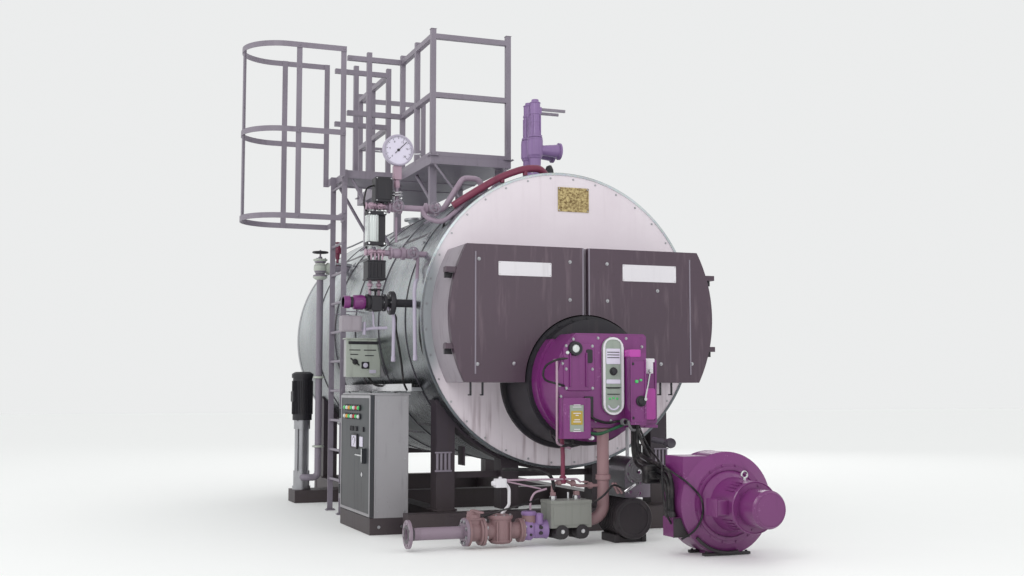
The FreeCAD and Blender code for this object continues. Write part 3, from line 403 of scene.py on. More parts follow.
def bare(name, colour, rough, brushed, streak, dull=0.3):
    """Bare metal: fine tool or rolling lines drawn out by `brushed`, cloudy tarnish and darker handling marks."""
    paint = Paint(name, Metallic=1.0)
    lines = paint.noise(streak, 3, brushed)
    cloud = paint.noise(0.22, 5, rough=0.65)
    marks = paint.noise(0.035, 4).between(0.58, 0.8)
    tint = paint.mixed(cloud, shade(colour, 0.72), shade(colour, 1.12))
    tint = paint.mixed(marks * dull, tint, srgb(70, 62, 58))
    return paint.wear(Base_Color=tint, Roughness=lines * 0.16 + cloud * 0.16 + marks * dull * 0.4 + (rough - 0.16),
                      Normal=paint.bumped(lines * 0.7 + cloud * 0.3, 0.00015, 0.6))


def cladding_metal():
    """Bright rolled sheet round the shell: brushed round its girth, with old water marks, greenish between,
    cloudy light and dark bands that are painted reflection as well as uneven tone, and painted shade low down."""
    paint = Paint("cladding_sheet", Metallic=0.92)
    lines = paint.noise(0.0035, 3, (60, 1, 60))
    cloud = paint.noise(1.1, 4, (1, 0.6, 1), 0.5)
    marks = paint.noise(0.06, 5, (1, 1, 5), 0.6).between(0.55, 0.8)
    flakes = paint.add("ShaderNodeTexVoronoi", {}, {"Vector": paint.place, "Scale": 42.0}, 1)
    # painted shade: below 2.15 m the sheet darkens towards (66, 70, 76), standing for shade on the lower half
    low = 1 - paint.height().between(1.25, 2.15)
    # painted reflection: cloudy light and dark bands round the girth, partly the sheet's own uneven tone
    tint = paint.mixed(cloud.between(0.2, 0.8), srgb(132, 138, 143), srgb(212, 218, 220))
    tint = paint.mixed(0.09, tint, flakes, "SOFT_LIGHT")
    tint = paint.mixed(marks * 0.3, tint, srgb(112, 112, 104))
    tint = paint.mixed(low * (cloud * 0.35 + 0.6), tint, srgb(66, 70, 76))
    return paint.wear(Base_Color=tint, Roughness=lines * 0.1 + cloud * 0.2 + marks * 0.14 + 0.12,
                      Normal=paint.bumped(lines * 0.25 + cloud, 0.004, 0.5))


def plate_cream():
    """Pale front plate: chalky paint with brown runs low down, and worn to bare metal on its left flank."""
    paint = Paint("front_cream_paint", Specular_IOR_Level=0.4)
    broad = paint.noise(0.6, 5)
    fine = paint.noise(0.003, 2)
    runs = paint.noise(0.045, 4, (1, 1, 14)).between(0.47, 0.75)
    low = 1 - paint.height().between(0.75, 1.35)
    high = paint.height().between(2.2, 2.9)
    specks = paint.noise(0.012, 5, rough=0.75).between(0.66, 0.76)
    tint = paint.mixed(broad, srgb(216, 204, 212), srgb(238, 230, 236))
    tint = paint.mixed(runs * low * 0.75, tint, srgb(140, 118, 126))
    tint = paint.mixed(runs * high * 0.16, tint, srgb(176, 160, 168))
    tint = paint.mixed(specks * 0.4, tint, srgb(150, 134, 140))
    across = paint.add("ShaderNodeSeparateXYZ", {}, {0: paint.place}, 0)
    flank = (1 - across.between(-1.12, -0.96)) * paint.height().between(1.1,
        1.4) * (1 - paint.height().between(2.05, 2.4))
    tint = paint.mixed(flank * 0.8, tint, srgb(148, 160, 162))
    return paint.wear(Base_Color=tint, Metallic=flank * 0.6, Roughness=broad * 0.2 + runs * low * 0.2 + 0.36,
                      Normal=paint.bumped(fine * 0.6 + broad * 0.4, 0.0005, 0.6))


def engraved_brass():
    """Name plate: brass with brown tarnish in blotches and faint ruled lines, and no lettering."""
    paint = Paint("tarnished_brass", Metallic=0.85)
    blots = paint.noise(0.02, 5, rough=0.7)
    lines = paint.noise(0.006, 2, (12, 1, 1)).between(0.5, 0.62)
    tint = paint.mixed(blots.between(0.35, 0.68), srgb(196, 178, 130), srgb(108, 86, 60))
    tint = paint.mixed(lines * 0.35, tint, srgb(84, 66, 44))
    return paint.wear(Base_Color=tint, Roughness=blots * 0.4 + 0.2, Normal=paint.bumped(blots, 0.0004, 0.6))


def rubber(name, colour=(26, 25, 28), ribs=0.0):
    """Sheathing or hose: dark, dusty along its length and slightly ribbed."""
    paint = Paint(name, Specular_IOR_Level=0.35)
    dust = paint.noise(0.06, 4)
    fine = paint.noise(0.0025, 2)
    tint = paint.mixed(dust.between(0.42, 0.8) * 0.5, srgb(*colour), srgb(104, 98, 98))
    return paint.wear(Base_Color=tint, Roughness=dust * 0.3 + 0.35,
                      Normal=paint.bumped(fine + dust * ribs, 0.0005, 0.6))


def lens(name, colour, glow=0.0):
    """A lamp's or window's coloured plastic or glass, with dust at random."""
    paint = Paint(name, Coat_Weight=0.6, Coat_Roughness=0.06, Emission_Color=srgb(*colour),
                  Emission_Strength=glow)
    dust = paint.noise(0.01, 4)
    tint = paint.mixed(dust.between(0.5, 0.85) * 0.35, srgb(*colour), srgb(196, 190, 188))
    return paint.wear(Base_Color=tint, Roughness=dust * 0.3 + 0.08, Normal=paint.bumped(dust, 0.0002, 0.3))


bright_sheet = cladding_metal()
cream = plate_cream()
brass = engraved_brass()
skid_paint = coat("skid_mauve", srgb(58, 49, 58), 0.55, 0.22, 0.35, chips=0.5, grime=0.5, depth=0.0008)
door_paint = coat("door_mauve_brown", srgb(76, 60, 72), 0.42, 0.12, 0.3, (132, 116, 124), chips=0.25, grime=0,
                  gloss=0.12)
box_paint = coat("box_mauve_grey", srgb(150, 142, 150), 0.5, 0.14, 0.3, (98, 88, 92))
iron = coat("black_iron", srgb(38, 36, 42), 0.5, 0.3, 0.3, (86, 78, 78), chips=0.2, grain=0.006, depth=0.0012)
magenta = coat("burner_magenta", srgb(118, 44, 112), 0.36, 0.2, 0.3, (84, 34, 84), chips=0.3, chip=(190, 140, 186),
               grime=0.3, gloss=0.35, depth=0.0006)
hot_pink = coat("burner_pink", srgb(178, 62, 160), 0.36, 0.16, 0.25, (120, 40, 110), gloss=0.3, grime=0.1)
panel_green = coat("panel_grey_green", srgb(150, 160, 150), 0.45, 0.12, 0.3, (90, 96, 92), grain=0.002)
steel = bare("bare_steel", srgb(176, 176, 180), 0.36, (1, 1, 1), 0.01)
chrome = bare("plated_steel", srgb(214, 214, 216), 0.2, (1, 1, 8), 0.004, dull=0.15)
salmon = coat("gas_salmon", srgb(160, 126, 130), 0.5, 0.2, 0.4, (130, 92, 96), chips=0.35, chip=(118, 84, 84),
              grime=0.4, depth=0.0009)
cabinet_paint = coat("cabinet_grey", srgb(158, 156, 160), 0.45, 0.12, 0.3, (104, 100, 104), chips=0.15)
cabinet_door_paint = coat("cabinet_door_grey", srgb(48, 51, 56), 0.45, 0.16, 0.3, (52, 56, 60), chips=0.2)
rail_paint = coat("rail_grey_mauve", srgb(132, 124, 136), 0.45, 0.16, 0.25, (92, 82, 92), chips=0.4, grime=0)
violet = coat("valve_violet", srgb(136, 108, 156), 0.42, 0.18, 0.3, (88, 60, 104), chips=0.3, grime=0, gloss=0.2)
dial_white = coat("dial_white", srgb(214, 208, 226), 0.35, 0.03, 0.08, (170, 164, 170), grime=0, grain=0.002,
                  depth=0.0001)
case_grey = coat("case_lilac_grey", srgb(176, 168, 186), 0.4, 0.12, 0.3, (100, 92, 104), grime=0)
white_paint = coat("white_enamel", srgb(222, 219, 224), 0.4, 0.06, 0.2, (160, 152, 156), grime=0.1)
dark_red = coat("dark_red_pipe", srgb(116, 44, 70), 0.42, 0.2, 0.3, (70, 34, 50), chips=0.2, grime=0, gloss=0.15)
pale_green = coat("valve_pale_green", srgb(184, 190, 180), 0.45, 0.16, 0.35, (110, 112, 104), chips=0.3)
pink_paint = coat("pale_pink", srgb(168, 142, 158), 0.45, 0.14, 0.3, (150, 110, 124), grime=0.1)
gold_paint = coat("window_gold", srgb(178, 150, 60), 0.4, 0.2, 0.3, (96, 80, 30), grime=0, grain=0.002)
pipe_paint = coat("pipe_mauve", srgb(150, 132, 148), 0.42, 0.16, 0.35, (88, 76, 84), chips=0.3, grime=0.3)
flange_dark = coat("flange_dark", srgb(74, 70, 78), 0.45, 0.2, 0.35, (110, 84, 78), chips=0.4, chip=(120, 84, 70))
glass_white = lens("gauge_glass", (212, 218, 216))
black_sheath = rubber("black_sheath")
grey_hose = rubber("braided_hose", (110, 108, 112), 1.0)
green_lens = lens("green_lens", (60, 170, 90), 0.25)
green_sheath = rubber("green_sheath", (40, 86, 60))
red_lens = lens("red_lens", (176, 40, 44), 0.1)
amber_lens = lens("amber_lens", (214, 150, 50), 0.1)

FINISH = {"cladding": bright_sheet, "front_cream": cream, "skid_paint": skid_paint, "box_grey": box_paint,
          "door_brown": door_paint, "black_iron": iron, "brass_plate": brass, "burner_magenta": magenta,
          "panel_face": panel_green, "bare_metal": steel, "gas_salmon": salmon, "cabinet_grey": cabinet_paint,
          "cabinet_door_grey": cabinet_door_paint, "rail_grey": rail_paint, "valve_violet": violet,
          "gauge_case": case_grey, "gauge_glass": glass_white, "cable_black": black_sheath}
for part in frame["record"]["subparts"]:
    mesh = frame["nodes"][part["node"]].data
    mesh.materials.clear()
    mesh.materials.append(FINISH[part["material_slot"]])
for name, other in {"relief_lever_front": rail_paint, "relief_lever_rear": rail_paint, "gas_inlet_pipe": pipe_paint,
                    "level_pipework": pipe_paint, "feed_pump_motor": iron}.items():
    frame["nodes"][name].data.materials[0] = other


def spun(part, axis, across, up, degrees):
    """A part turned about a line along the axis: (a cos - b sin, a sin + b cos) of its distance from the line.
    Several angles give as many copies."""
    points, corners, sizes = part
    i, j, _ = AXES[axis]
    angle = np.radians(np.atleast_1d(degrees))[:, None]
    a, b = points[:, i] - across, points[:, j] - up
    moved = np.repeat(points[None], len(angle), 0)
    moved[..., i] = across + a * np.cos(angle) - b * np.sin(angle)
    moved[..., j] = up + a * np.sin(angle) + b * np.cos(angle)
    shift = np.arange(len(angle))[:, None] * len(points)
    return moved.reshape(-1, 3), (corners + shift).ravel(), np.tile(sizes, len(angle))


def hand_wheel(axis, across, up, along, radius, bar):
    """A rim, its hub and spokes: a circle carried round a circle, and rods from the middle."""
    angle = np.arange(WHEEL_STEPS + 1)[:, None] * TURN / WHEEL_STEPS
    rim = lay(across + radius * np.cos(angle), up + radius * np.sin(angle), along, axis)[:, 0]
    arms = ring_of(axis, across, up, along, radius, WHEEL_SPOKES, 20)
    middle = lay(across, up, along, axis)
    hub = turned(axis, across, up, [(along - bar * 2, bar * 2.2), (along + bar * 2, bar * 2.2)], 12)
    return joined(tube(rim, bar, 8), hub, *[rod(middle, arm, bar * 0.7, 6) for arm in arms])


# ---------------------------------------------------------------- the vessel's jacket

shell, bands, plate = at["shell"], at["cladding_bands"], at["front_plate"]
AXLE_Z = shell.z
RADIUS = shell.x1
band_places = bands.y0 + 0.03 + np.arange(BAND_COUNT) * (bands.y1 - bands.y0 - 0.06) / (BAND_COUNT - 1)


def jacket_profile():
    """Sheet after sheet between the bands: the radius falls 4 mm to a crease at each lap and swells between,
    as 1 minus the eighth power of the distance from the sheet's middle."""
    ends = np.concatenate([[shell.y0], band_places, [shell.y1]])
    share = np.array([0.004, 0.02, 0.06, 0.15, 0.5, 0.85, 0.94, 0.98, 0.996])
    along = (ends[:-1, None] + np.diff(ends)[:, None] * share).ravel()
    swell = np.tile(1 - np.abs(2 * share - 1) ** 8, len(ends) - 1)
    return np.stack([along, RADIUS - 0.004 + 0.004 * swell], 1)


jacket = fixed("cladding_jacket", "cladding", turned("y", 0, AXLE_Z, jacket_profile(), 144), sharp=50)
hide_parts("shell")

seam_ends = np.concatenate([[shell.y0 + 0.01], band_places, [shell.y1 - 0.01]])
seams, rivets = [], []
for number, (start, end) in enumerate(zip(seam_ends[:-1], seam_ends[1:])):
    lap = block(-0.006, 0.0015, start + 0.02, end - 0.02, -0.016, 0.016, 0.0012, base=(RADIUS, 0, AXLE_Z))
    row = np.linspace(start + 0.05, end - 0.05, max(3, int((end - start) / 0.09)))
    heads = copies(turned("x", 0, 0, [(0, 0.0055), (0.0015, 0.005), (0.003, 0.0025)], 10),
                   lay(row, AXLE_Z, RADIUS + 0.001, "x"))
    angles = [138 + 5 * (number % 2), 232 - 6 * (number % 2), 318 + 6 * (number % 2)]
    seams.append(spun(lap, "y", 0, AXLE_Z, angles))
    rivets.append(spun(heads, "y", 0, AXLE_Z, angles))
fixed("cladding_laps", "cladding", *seams, paint=flange_dark)
fixed("cladding_rivets", "bare_metal", *rivets)

toggle = joined(block(0.004, 0.03, -0.022, 0.022, 0.02, 0.032, base=(RADIUS, 0, AXLE_Z)),
    block(0.004, 0.03, -0.022, 0.022, -0.032, -0.02, base=(RADIUS, 0, AXLE_Z)),
    rod((0.018, 0, -0.06), (0.018, 0, 0.06), 0.006, base=(RADIUS, 0, AXLE_Z)),
    copies(bolt("z", 0.01), [(RADIUS + 0.018, 0, AXLE_Z + 0.033)]))
clasps = copies(toggle, lay(0, 0, band_places, "y"))
fixed("band_clamps", "bare_metal", spun(clasps, "y", 0, AXLE_Z, [147, 40]))
edge_beads = [turned("y", 0, AXLE_Z, [(-0.004, RADIUS - 0.004), (-0.004, RADIUS + 0.004), (0, RADIUS + 0.0058),
    (0.004, RADIUS + 0.004), (0.004, RADIUS - 0.004)], 120, True, base=y)
    for y in np.concatenate([band_places - 0.03, band_places + 0.03])]
fixed("band_edges", "black_iron", *edge_beads, paint=flange_dark)

rim = turned("y", 0, AXLE_Z, [(plate.y0 - 0.006, RADIUS - 0.02), (plate.y0 - 0.006, RADIUS - 0.004),
                              (plate.y0 - 0.002, RADIUS + 0.001), (plate.y1 + 0.05, RADIUS + 0.002),
                              (plate.y1 + 0.05, RADIUS - 0.004), (plate.y0 + 0.004, RADIUS - 0.02)], 144, True)
fixed("front_rim", "cladding", rim, sharp=30)
screws = ring_of("y", 0, AXLE_Z, plate.y0, RADIUS - 0.045, 36, 5)
fixed("front_rim_screws", "bare_metal", copies(bolt("y", 0.007, -1), screws))
back = at["rear_plate"]
fixed("rear_rim_screws", "bare_metal",
    bolted("y", 0.009, 1, 0, AXLE_Z, back.y1, RADIUS - 0.045, 36, 5),
    turned("y", 0, AXLE_Z, [(back.y0 - 0.05, RADIUS - 0.004), (back.y0 - 0.05, RADIUS + 0.002),
        (back.y1, RADIUS + 0.001), (back.y1 + 0.005, RADIUS - 0.004), (back.y1 + 0.005, RADIUS - 0.02)], 144, True))
sign = at["name_plate"]
fixed("name_plate_border", "brass_plate",
    frame_bar(sign.x0, sign.x1, sign.z0, sign.z1, 0.009, "y", sign.y0 - 0.002, sign.y0 + 0.001, 0.006),
    frame_bar(sign.x0 + 0.014, sign.x1 - 0.014, sign.z0 + 0.014, sign.z1 - 0.014, 0.002, "y", sign.y0 - 0.001,
        sign.y0 + 0.001, 0.004),
    *[block(sign.x0 + 0.03, sign.x1 - 0.03 - 0.03 * (n % 3), sign.y0 - 0.0012, sign.y0 + 0.001,
        sign.z1 - 0.045 - 0.022 * n, sign.z1 - 0.042 - 0.022 * n, 0.0005) for n in range(6)])
corner_places = [(x, sign.y0 - 0.001, z) for x in (sign.x0 + 0.011, sign.x1 - 0.011)
                 for z in (sign.z0 + 0.011, sign.z1 - 0.011)]
fixed("name_plate_screws", "bare_metal", copies(bolt("y", 0.005, -1), corner_places))

# ---------------------------------------------------------------- front doors

HEAD = turned("y", 0, 0, [(0.0, 0.014), (-0.003, 0.014), (-0.004, 0.009), (-0.012, 0.009), (-0.014, 0.005)], 16)
TRIMS = (("front_door_left", -1, ((0.863, 0.929), (0.873, 0.135), (0.58, 0.141), (0.116, 0.931), (0.117, 0.636)),
          (0.272, 0.706, 0.809, 0.917)),
         ("front_door_right", 1, ((0.16, 0.927), (0.162, 0.636), (0.626, 0.147), (0.903, 0.15), (0.601, 0.727)),
          (0.294, 0.766, 0.796, 0.928)))
for name, side, knobs, label in TRIMS:
    door = at[name]
    seam = door.x0 if side > 0 else door.x1
    face = door.y0
    places = [(seam + side * out, face, door.z0 + rise) for out, rise in knobs]
    piece(name + "_knobs", name, "bare_metal", copies(HEAD, places))
    near, far, low, high = label
    left, right = sorted((seam + side * near, seam + side * far))
    low, high = door.z0 + low, door.z0 + high
    piece(name + "_label", name, "front_cream",
        tile("y", left, right, low, high, 0.006, face - 0.003, face, 0.001), paint=white_paint)
    piece(name + "_label_rivets", name, "bare_metal",
        copies(turned("y", 0, 0, [(0, 0.004), (-0.0015, 0.0035), (-0.0025, 0.0015)], 10),
            [(x, face - 0.003, z) for x in (left + 0.01, right - 0.01) for z in (low + 0.01, high - 0.01)]))
    strip = seam + side * 0.89
    folds = [block(strip - 0.006, strip + 0.006, face - 0.004, face + 0.001, door.z0 + 0.062, door.z1 - 0.058, 0.001),
             block(seam, seam + side * 0.012, face - 0.002, face + 0.001, door.z0 + 0.52, door.z1, 0.001)]
    piece(name + "_strips", name, "bare_metal", *folds, paint=rail_paint)

box_low = at["smokebox"]
hooks = [joined(block(-0.008, 0.008, 0.002, 0.012, -0.1, 0.02, base=(x, box_low.y0, box_low.z0)),
    block(-0.008, 0.008, 0.002, 0.05, -0.1, -0.09, base=(x, box_low.y0, box_low.z0)))
    for x in (-0.927, -0.831, 0.669, 0.768)]
fixed("smokebox_hooks", "black_iron", *hooks)

# ---------------------------------------------------------------- burner head

burner, throat = at["burner_body"], at["burner_throat"]
FACE = at["burner_panel"].y1
ring_z = burner.z
flange = turned("y", 0, ring_z, [(-0.014, 0.44), (-0.014, 0.494), (0, 0.497), (0.004, 0.44)], 96, True,
    base=throat.y0)
fixed("burner_flange", "black_iron",
    flange, bolted("y", 0.009, -1, 0, ring_z, throat.y0 - 0.014, 0.481, 24),
    turned("y", 0, ring_z, [(-0.03, 0.49), (-0.03, 0.535), (-0.012, 0.54), (0.0, 0.54), (0.0, 0.49)], 96, True))
drum_front = throat.y0 - 0.12
fixed("burner_ribs", "burner_magenta",
    *[band("y", 0, ring_z, y, y + 0.012, 0.455, 0.4655, 96) for y in (drum_front + 0.004, drum_front + 0.052,
        drum_front + 0.1)])
# painted shadow: a black arc over the top of the burner drum stands for the shade in the gap under the door
painted_shadow_arc = np.radians(np.linspace(42, 138, 40))
painted_shadow_radius = 0.4665
painted_shadow_outline = np.stack([painted_shadow_radius * np.cos(painted_shadow_arc), ring_z + painted_shadow_radius * np.sin(painted_shadow_arc)], 1)
fixed("burner_painted_shadow", "black_iron", prism(painted_shadow_outline, "y", drum_front - 0.004, drum_front + 0.118))


def burner_cover(radius, left, right, low, high):
    """The housing's round front cut by straight sides: a circle's points held between the limits."""
    outline = circle(0, ring_z, radius, 120)
    return np.stack([np.clip(outline[:, 0], left, right), np.clip(outline[:, 1], low, high)], 1)


cover = prism(burner_cover(0.425, -0.425, 0.285, ring_z - 0.33, ring_z + 0.33), "y", FACE - 0.008, FACE + 0.004)
hatch = prism(rounded(-0.38, -0.13, ring_z - 0.08, ring_z + 0.27, 0.05, 8), "y", FACE - 0.016, FACE, 0.004)
cover_bolts = [(x, FACE - 0.008, z) for x, z in ((-0.41, 1.16), (-0.385, 1.32), (-0.3, 1.5), (-0.1, 1.51), (0.0, 1.51),
                                                (0.13, 1.51), (0.26, 1.45), (-0.4, 1.08), (-0.12, 0.9), (0.0, 0.9))]
hatch_bolts = [(x, FACE - 0.016, z) for x in (-0.36, -0.15) for z in (ring_z - 0.06, ring_z + 0.08, ring_z + 0.25)]
fixed("burner_cover", "burner_magenta",
    cover, hatch,
    *[block(-0.006, 0.006, -0.03, -0.01, -0.05, 0.2, 0.004, base=(x, FACE, ring_z)) for x in (-0.33, -0.2)])
fixed("burner_cover_bolts", "bare_metal", copies(bolt("y", 0.009, -1), cover_bolts + hatch_bolts))
port_x, port_z = -0.29, ring_z + 0.23
fixed("sight_port", "black_iron",
    turned("y", port_x, port_z, [(burner.y0 - 0.012, 0.03), (burner.y0 - 0.014, 0.036), (burner.y0 - 0.012, 0.05),
        (burner.y0 + 0.01, 0.054), (FACE, 0.056), (FACE, 0.03)], 40, True),
    tile("y", -0.2, -0.15, ring_z + 0.125, ring_z + 0.225, 0.012, FACE - 0.022, FACE),
    tile("y", -0.216, -0.147, ring_z - 0.28, ring_z - 0.12, 0.006, FACE - 0.024, FACE))
# The first dome is the port's glass; the second, a small white dome down and left of the port, is a painted glint.
fixed("sight_glass_and_painted_glint", "gauge_glass",
    turned("y", port_x, port_z, [(-0.006, 0.03), (-0.009, 0.02), (-0.01, 0.004)], 32, base=burner.y0),
    turned("y", port_x - 0.06, port_z - 0.03, [(-0.02, 0.014), (-0.03, 0.01), (-0.032, 0.003)], 20, base=FACE))

panel = at["burner_panel"]
half = (panel.x1 - panel.x0) / 2


def pill_ring(grow, thick, low, high):
    """A ring of the panel's outline: two outlines `thick` apart, joined over low and high."""
    return frame_bar(panel.x0 - grow, panel.x1 + grow, panel.z0 - grow, panel.z1 + grow, thick, "y", low, high,
                     half + grow)


fixed("panel_rim", "panel_face", pill_ring(0.0, 0.018, panel.y0 - 0.008, panel.y0 + 0.004), paint=white_paint)
inset = 0.026
fixed("panel_plates", "panel_face",
    tile("y", panel.x0 + inset, panel.x1 - inset, -0.2, -0.085, 0.008, -0.004, 0, base=(0, panel.z1, panel.y0)),
    tile("y", panel.x0 + inset, panel.x1 - inset, 0.23, 0.262, 0.006, -0.004, 0, base=(0, panel.z0, panel.y0)),
    tube(lay(panel.x + 0.045 * np.cos(np.linspace(3.5, 5.9, 14)),
        panel.z0 + 0.085 + 0.045 * np.sin(np.linspace(3.5, 5.9, 14)), panel.y0 - 0.004, "y"), 0.007, 8),
    paint=dial_white)
fixed("panel_bars", "black_iron",
    *[tile("y", panel.x0 + inset + 0.008, panel.x1 - inset - 0.008, z, z + 0.006, 0.002, panel.y0 - 0.006,
        panel.y0 - 0.002, 0.0008) for z in (panel.z1 - 0.115, panel.z1 - 0.135, panel.z1 - 0.155, panel.z0 + 0.195,
        panel.z0 + 0.15)],
    turned("y", panel.x, panel.z0 + 0.322, [(0, 0.03), (-0.006, 0.03), (-0.01, 0.024), (-0.03, 0.022),
        (-0.032, 0.018)], 32, base=panel.y0),
    tile("y", panel.x0 + 0.02, panel.x1 - 0.02, 0.2, 0.205, 0.002, -0.003, 0, 0.0008, base=(0, panel.z0, panel.y0)))
fixed("panel_lamps", "panel_face",
    copies(turned("y", 0, 0, [(0, 0.009), (-0.006, 0.008), (-0.009, 0.003)], 16),
        [(panel.x + x, panel.y0, panel.z0 + z) for x, z in ((-0.03, 0.12), (0.0, 0.125), (0.03, 0.12))]),
    paint=green_lens)

boxes = at["burner_boxes"]
low_x1, low_z1 = boxes.x0 + 0.214, boxes.z0 + 0.293
fixed("control_window_frame", "burner_magenta",
    frame_bar(boxes.x0, low_x1, boxes.z0, low_z1, 0.05, "y", -1.018, -1.006, 0.012))
fixed("control_window", "panel_face",
    tile("y", boxes.x0 + 0.052, low_x1 - 0.052, boxes.z0 + 0.02, low_z1 - 0.02, 0.006, -1.015, -1.006))
fixed("control_window_gold", "brass_plate",
    tile("y", boxes.x0 + 0.062, low_x1 - 0.062, boxes.z0 + 0.1, boxes.z0 + 0.2, 0.006, -1.019, -1.012),
    paint=gold_paint)
middle_x = (boxes.x0 + low_x1) / 2
fixed("control_marks", "front_cream",
    *[block(middle_x - w, middle_x + w, -1.0215, -1.017, boxes.z0 + z, boxes.z0 + z + 0.006, 0.001)
        for z, w in ((0.118, 0.03), (0.133, 0.022), (0.165, 0.012), (0.18, 0.03), (0.225, 0.034), (0.24, 0.026),
        (0.05, 0.03), (0.065, 0.024))],
    turned("y", -0.181, 0.778, [(-0.985, 0.012), (-0.97, 0.016), (-0.94, 0.016)], 20), paint=white_paint)
side_x0, side_x1, side_z0, side_z1 = boxes.x1 - 0.128, boxes.x1, boxes.z1 - 0.528, boxes.z1
fixed("servo_cover", "burner_magenta",
    tile("y", -0.006, 0.085, -0.03, 0.025, 0.01, -1.024, -0.9, base=(side_x0, side_z1, 0)),
    tile("y", at["air_duct"].x0 + 0.006, at["air_duct"].x1 - 0.006, 0.905, 1.14, 0.02, -0.872, -0.855),
    paint=hot_pink)
fixed("servo_frame", "burner_magenta",
    frame_bar(side_x0, side_x1, side_z0 + 0.02, side_z1 - 0.04, 0.012, "y", -1.026, -1.016, 0.01))
fixed("servo_top", "front_cream",
    block(0.25, 0.345, -0.95, -0.862, 1.335, 1.362), block(0.27, 0.33, -0.955, -0.93, 1.25, 1.34),
    paint=white_paint)
fixed("servo_lamp", "panel_face",
    turned("y", side_x0 + 0.05, 1.19, [(-1.02, 0.014), (-1.03, 0.012), (-1.034, 0.004)], 20),
    turned("y", side_x0 + 0.085, 1.2, [(-1.02, 0.01), (-1.028, 0.009), (-1.031, 0.003)], 20), paint=green_lens)
knob_x, knob_z = side_x0 + 0.085, 1.045
fixed("servo_knob", "black_iron",
    turned("y", knob_x, knob_z, [(-1.02, 0.04), (-1.03, 0.04), (-1.034, 0.03), (-1.045, 0.026), (-1.047, 0.02)],
        32), copies(bolt("y", 0.008, -1), [(side_x0 + 0.02, -1.024, z) for z in (side_z0 + 0.05, side_z1 - 0.08)]))
fixed("servo_linkage", "bare_metal",
    rod((0.3, -0.965, 1.27), (knob_x + 0.02, -1.052, 1.06), 0.007),
    turned("y", 0.3, 1.27, [(-0.985, 0.014), (-0.95, 0.014)], 16),
    turned("y", knob_x + 0.02, 1.06, [(-1.062, 0.012), (-1.04, 0.012)], 16), paint=chrome)
fixed("impulse_line", "gas_salmon",
    pipe([(-0.436, -0.87, 1.345), (-0.436, -0.915, 1.345), (-0.438, -0.925, 1.3), (-0.438, -0.925, 0.8),
        (-0.43, -0.9, 0.74), (-0.3, -0.85, 0.7)], 0.03, 0.009), paint=pink_paint)
fixed("igniter_hoses", "cable_black",
    pipe([(-0.3, -0.9, 1.36), (-0.434, -0.925, 1.353), (-0.53, -0.9, 1.3), (-0.54, -0.9, 1.2),
        (-0.427, -0.925, 1.17), (-0.34, -0.9, 1.15)], 0.08, 0.008),
    pipe([(-0.2, -0.92, 0.99), (-0.17, -0.95, 0.92), (-0.05, -0.94, 0.88), (0.06, -0.93, 0.9), (0.1, -0.96, 0.88)],
        0.06, 0.01),
    pipe([(-0.34, -0.99, 0.79), (-0.33, -0.96, 0.74), (-0.38, -0.88, 0.71), (-0.42, -0.8, 0.76),
        (-0.4, -0.7, 0.82)], 0.06, 0.009))
fixed("igniter_lead", "cable_black",
    pipe([(-0.21, -0.93, 0.82), (-0.12, -0.95, 0.8), (0.0, -0.94, 0.84), (0.09, -0.93, 0.87)], 0.06, 0.012),
    paint=green_sheath)
coil_turn = np.linspace(0, 5 * TURN, 90)
fixed("braided_coil", "bare_metal",
    pipe([(0.1, -1.0, 0.9), (0.104, -1.01, 0.86), (0.13, -1.0, 0.83), (0.2, -0.98, 0.835)], 0.03, 0.011),
    tube(lay(0.085 + 0.022 * np.cos(coil_turn), 0.892 + 0.022 * np.sin(coil_turn), -0.94 - 0.0016 * coil_turn, "y"),
        0.004, 6), paint=grey_hose)

# ---------------------------------------------------------------- fan, its motor and the air duct

fan, motor, duct = at["fan_casing"], at["fan_motor"], at["air_duct"]
FX, FZ, FAN_R = motor.x, motor.z, fan.z1 / 2 - 0.001
fixed("fan_shell_ribs", "burner_magenta",
    band("y", FX, FZ, fan.y0 + 0.05, fan.y0 + 0.062, FAN_R - 0.01, FAN_R + 0.001, 96),
    band("y", FX, FZ, fan.y1 - 0.02, fan.y1, FAN_R - 0.01, FAN_R + 0.001, 96),
    turned("y", FX, FZ, [(0.002, 0.226), (-0.006, 0.228), (-0.008, 0.24), (-0.006, 0.252), (0.002, 0.254)], 96,
        True, base=fan.y0),
    turned("y", FX, FZ, [(0.192, 0.16), (0.186, 0.168), (0.192, 0.174), (0.2, 0.172), (0.206, 0.16)], 72, True,
        base=motor.y0),
    turned("y", FX, FZ, [(0, 0.104), (0, 0.112), (0.006, 0.116), (0.01, 0.11), (0.008, 0.104)], 64, True,
        base=motor.y0))
fixed("fan_bolts", "burner_magenta",
    bolted("y", 0.009, -1, FX, FZ, fan.y0, 0.262, 16, 11),
    bolted("y", 0.007, -1, FX, FZ, motor.y0 + 0.19, 0.146, 6, 20))
fin_angles = np.concatenate([np.arange(30, 66, 9), np.arange(114, 150, 9), np.arange(210, 246, 9),
    np.arange(294, 330, 9)])
fin = block(0.17, 0.1785, 0.235, 0.42, -0.003, 0.003, 0.001, base=(FX, motor.y0, FZ))
fixed("motor_fins", "burner_magenta", spun(fin, "y", FX, FZ, fin_angles))
eye_turn = np.arange(25) * TURN / 24
fixed("motor_eye", "bare_metal",
    tube(lay(FX + 0.022 * np.cos(eye_turn), FZ + 0.208 + 0.022 * np.sin(eye_turn), motor.y0 + 0.32, "y"), 0.006, 8),
    rod((0, 0.32, 0.165), (0, 0.32, 0.19), 0.01, base=(FX, motor.y0, FZ)), paint=chrome)
fixed("motor_terminal_cover", "burner_magenta",
    block(-0.255, -0.16, 0.25, 0.37, -0.05, 0.05, 0.008, base=(FX, motor.y0, FZ)),
    block(-0.263, -0.25, 0.242, 0.378, -0.058, 0.058, 0.004, base=(FX, motor.y0, FZ)))
cradle = np.linspace(radians(222), radians(282), 40)
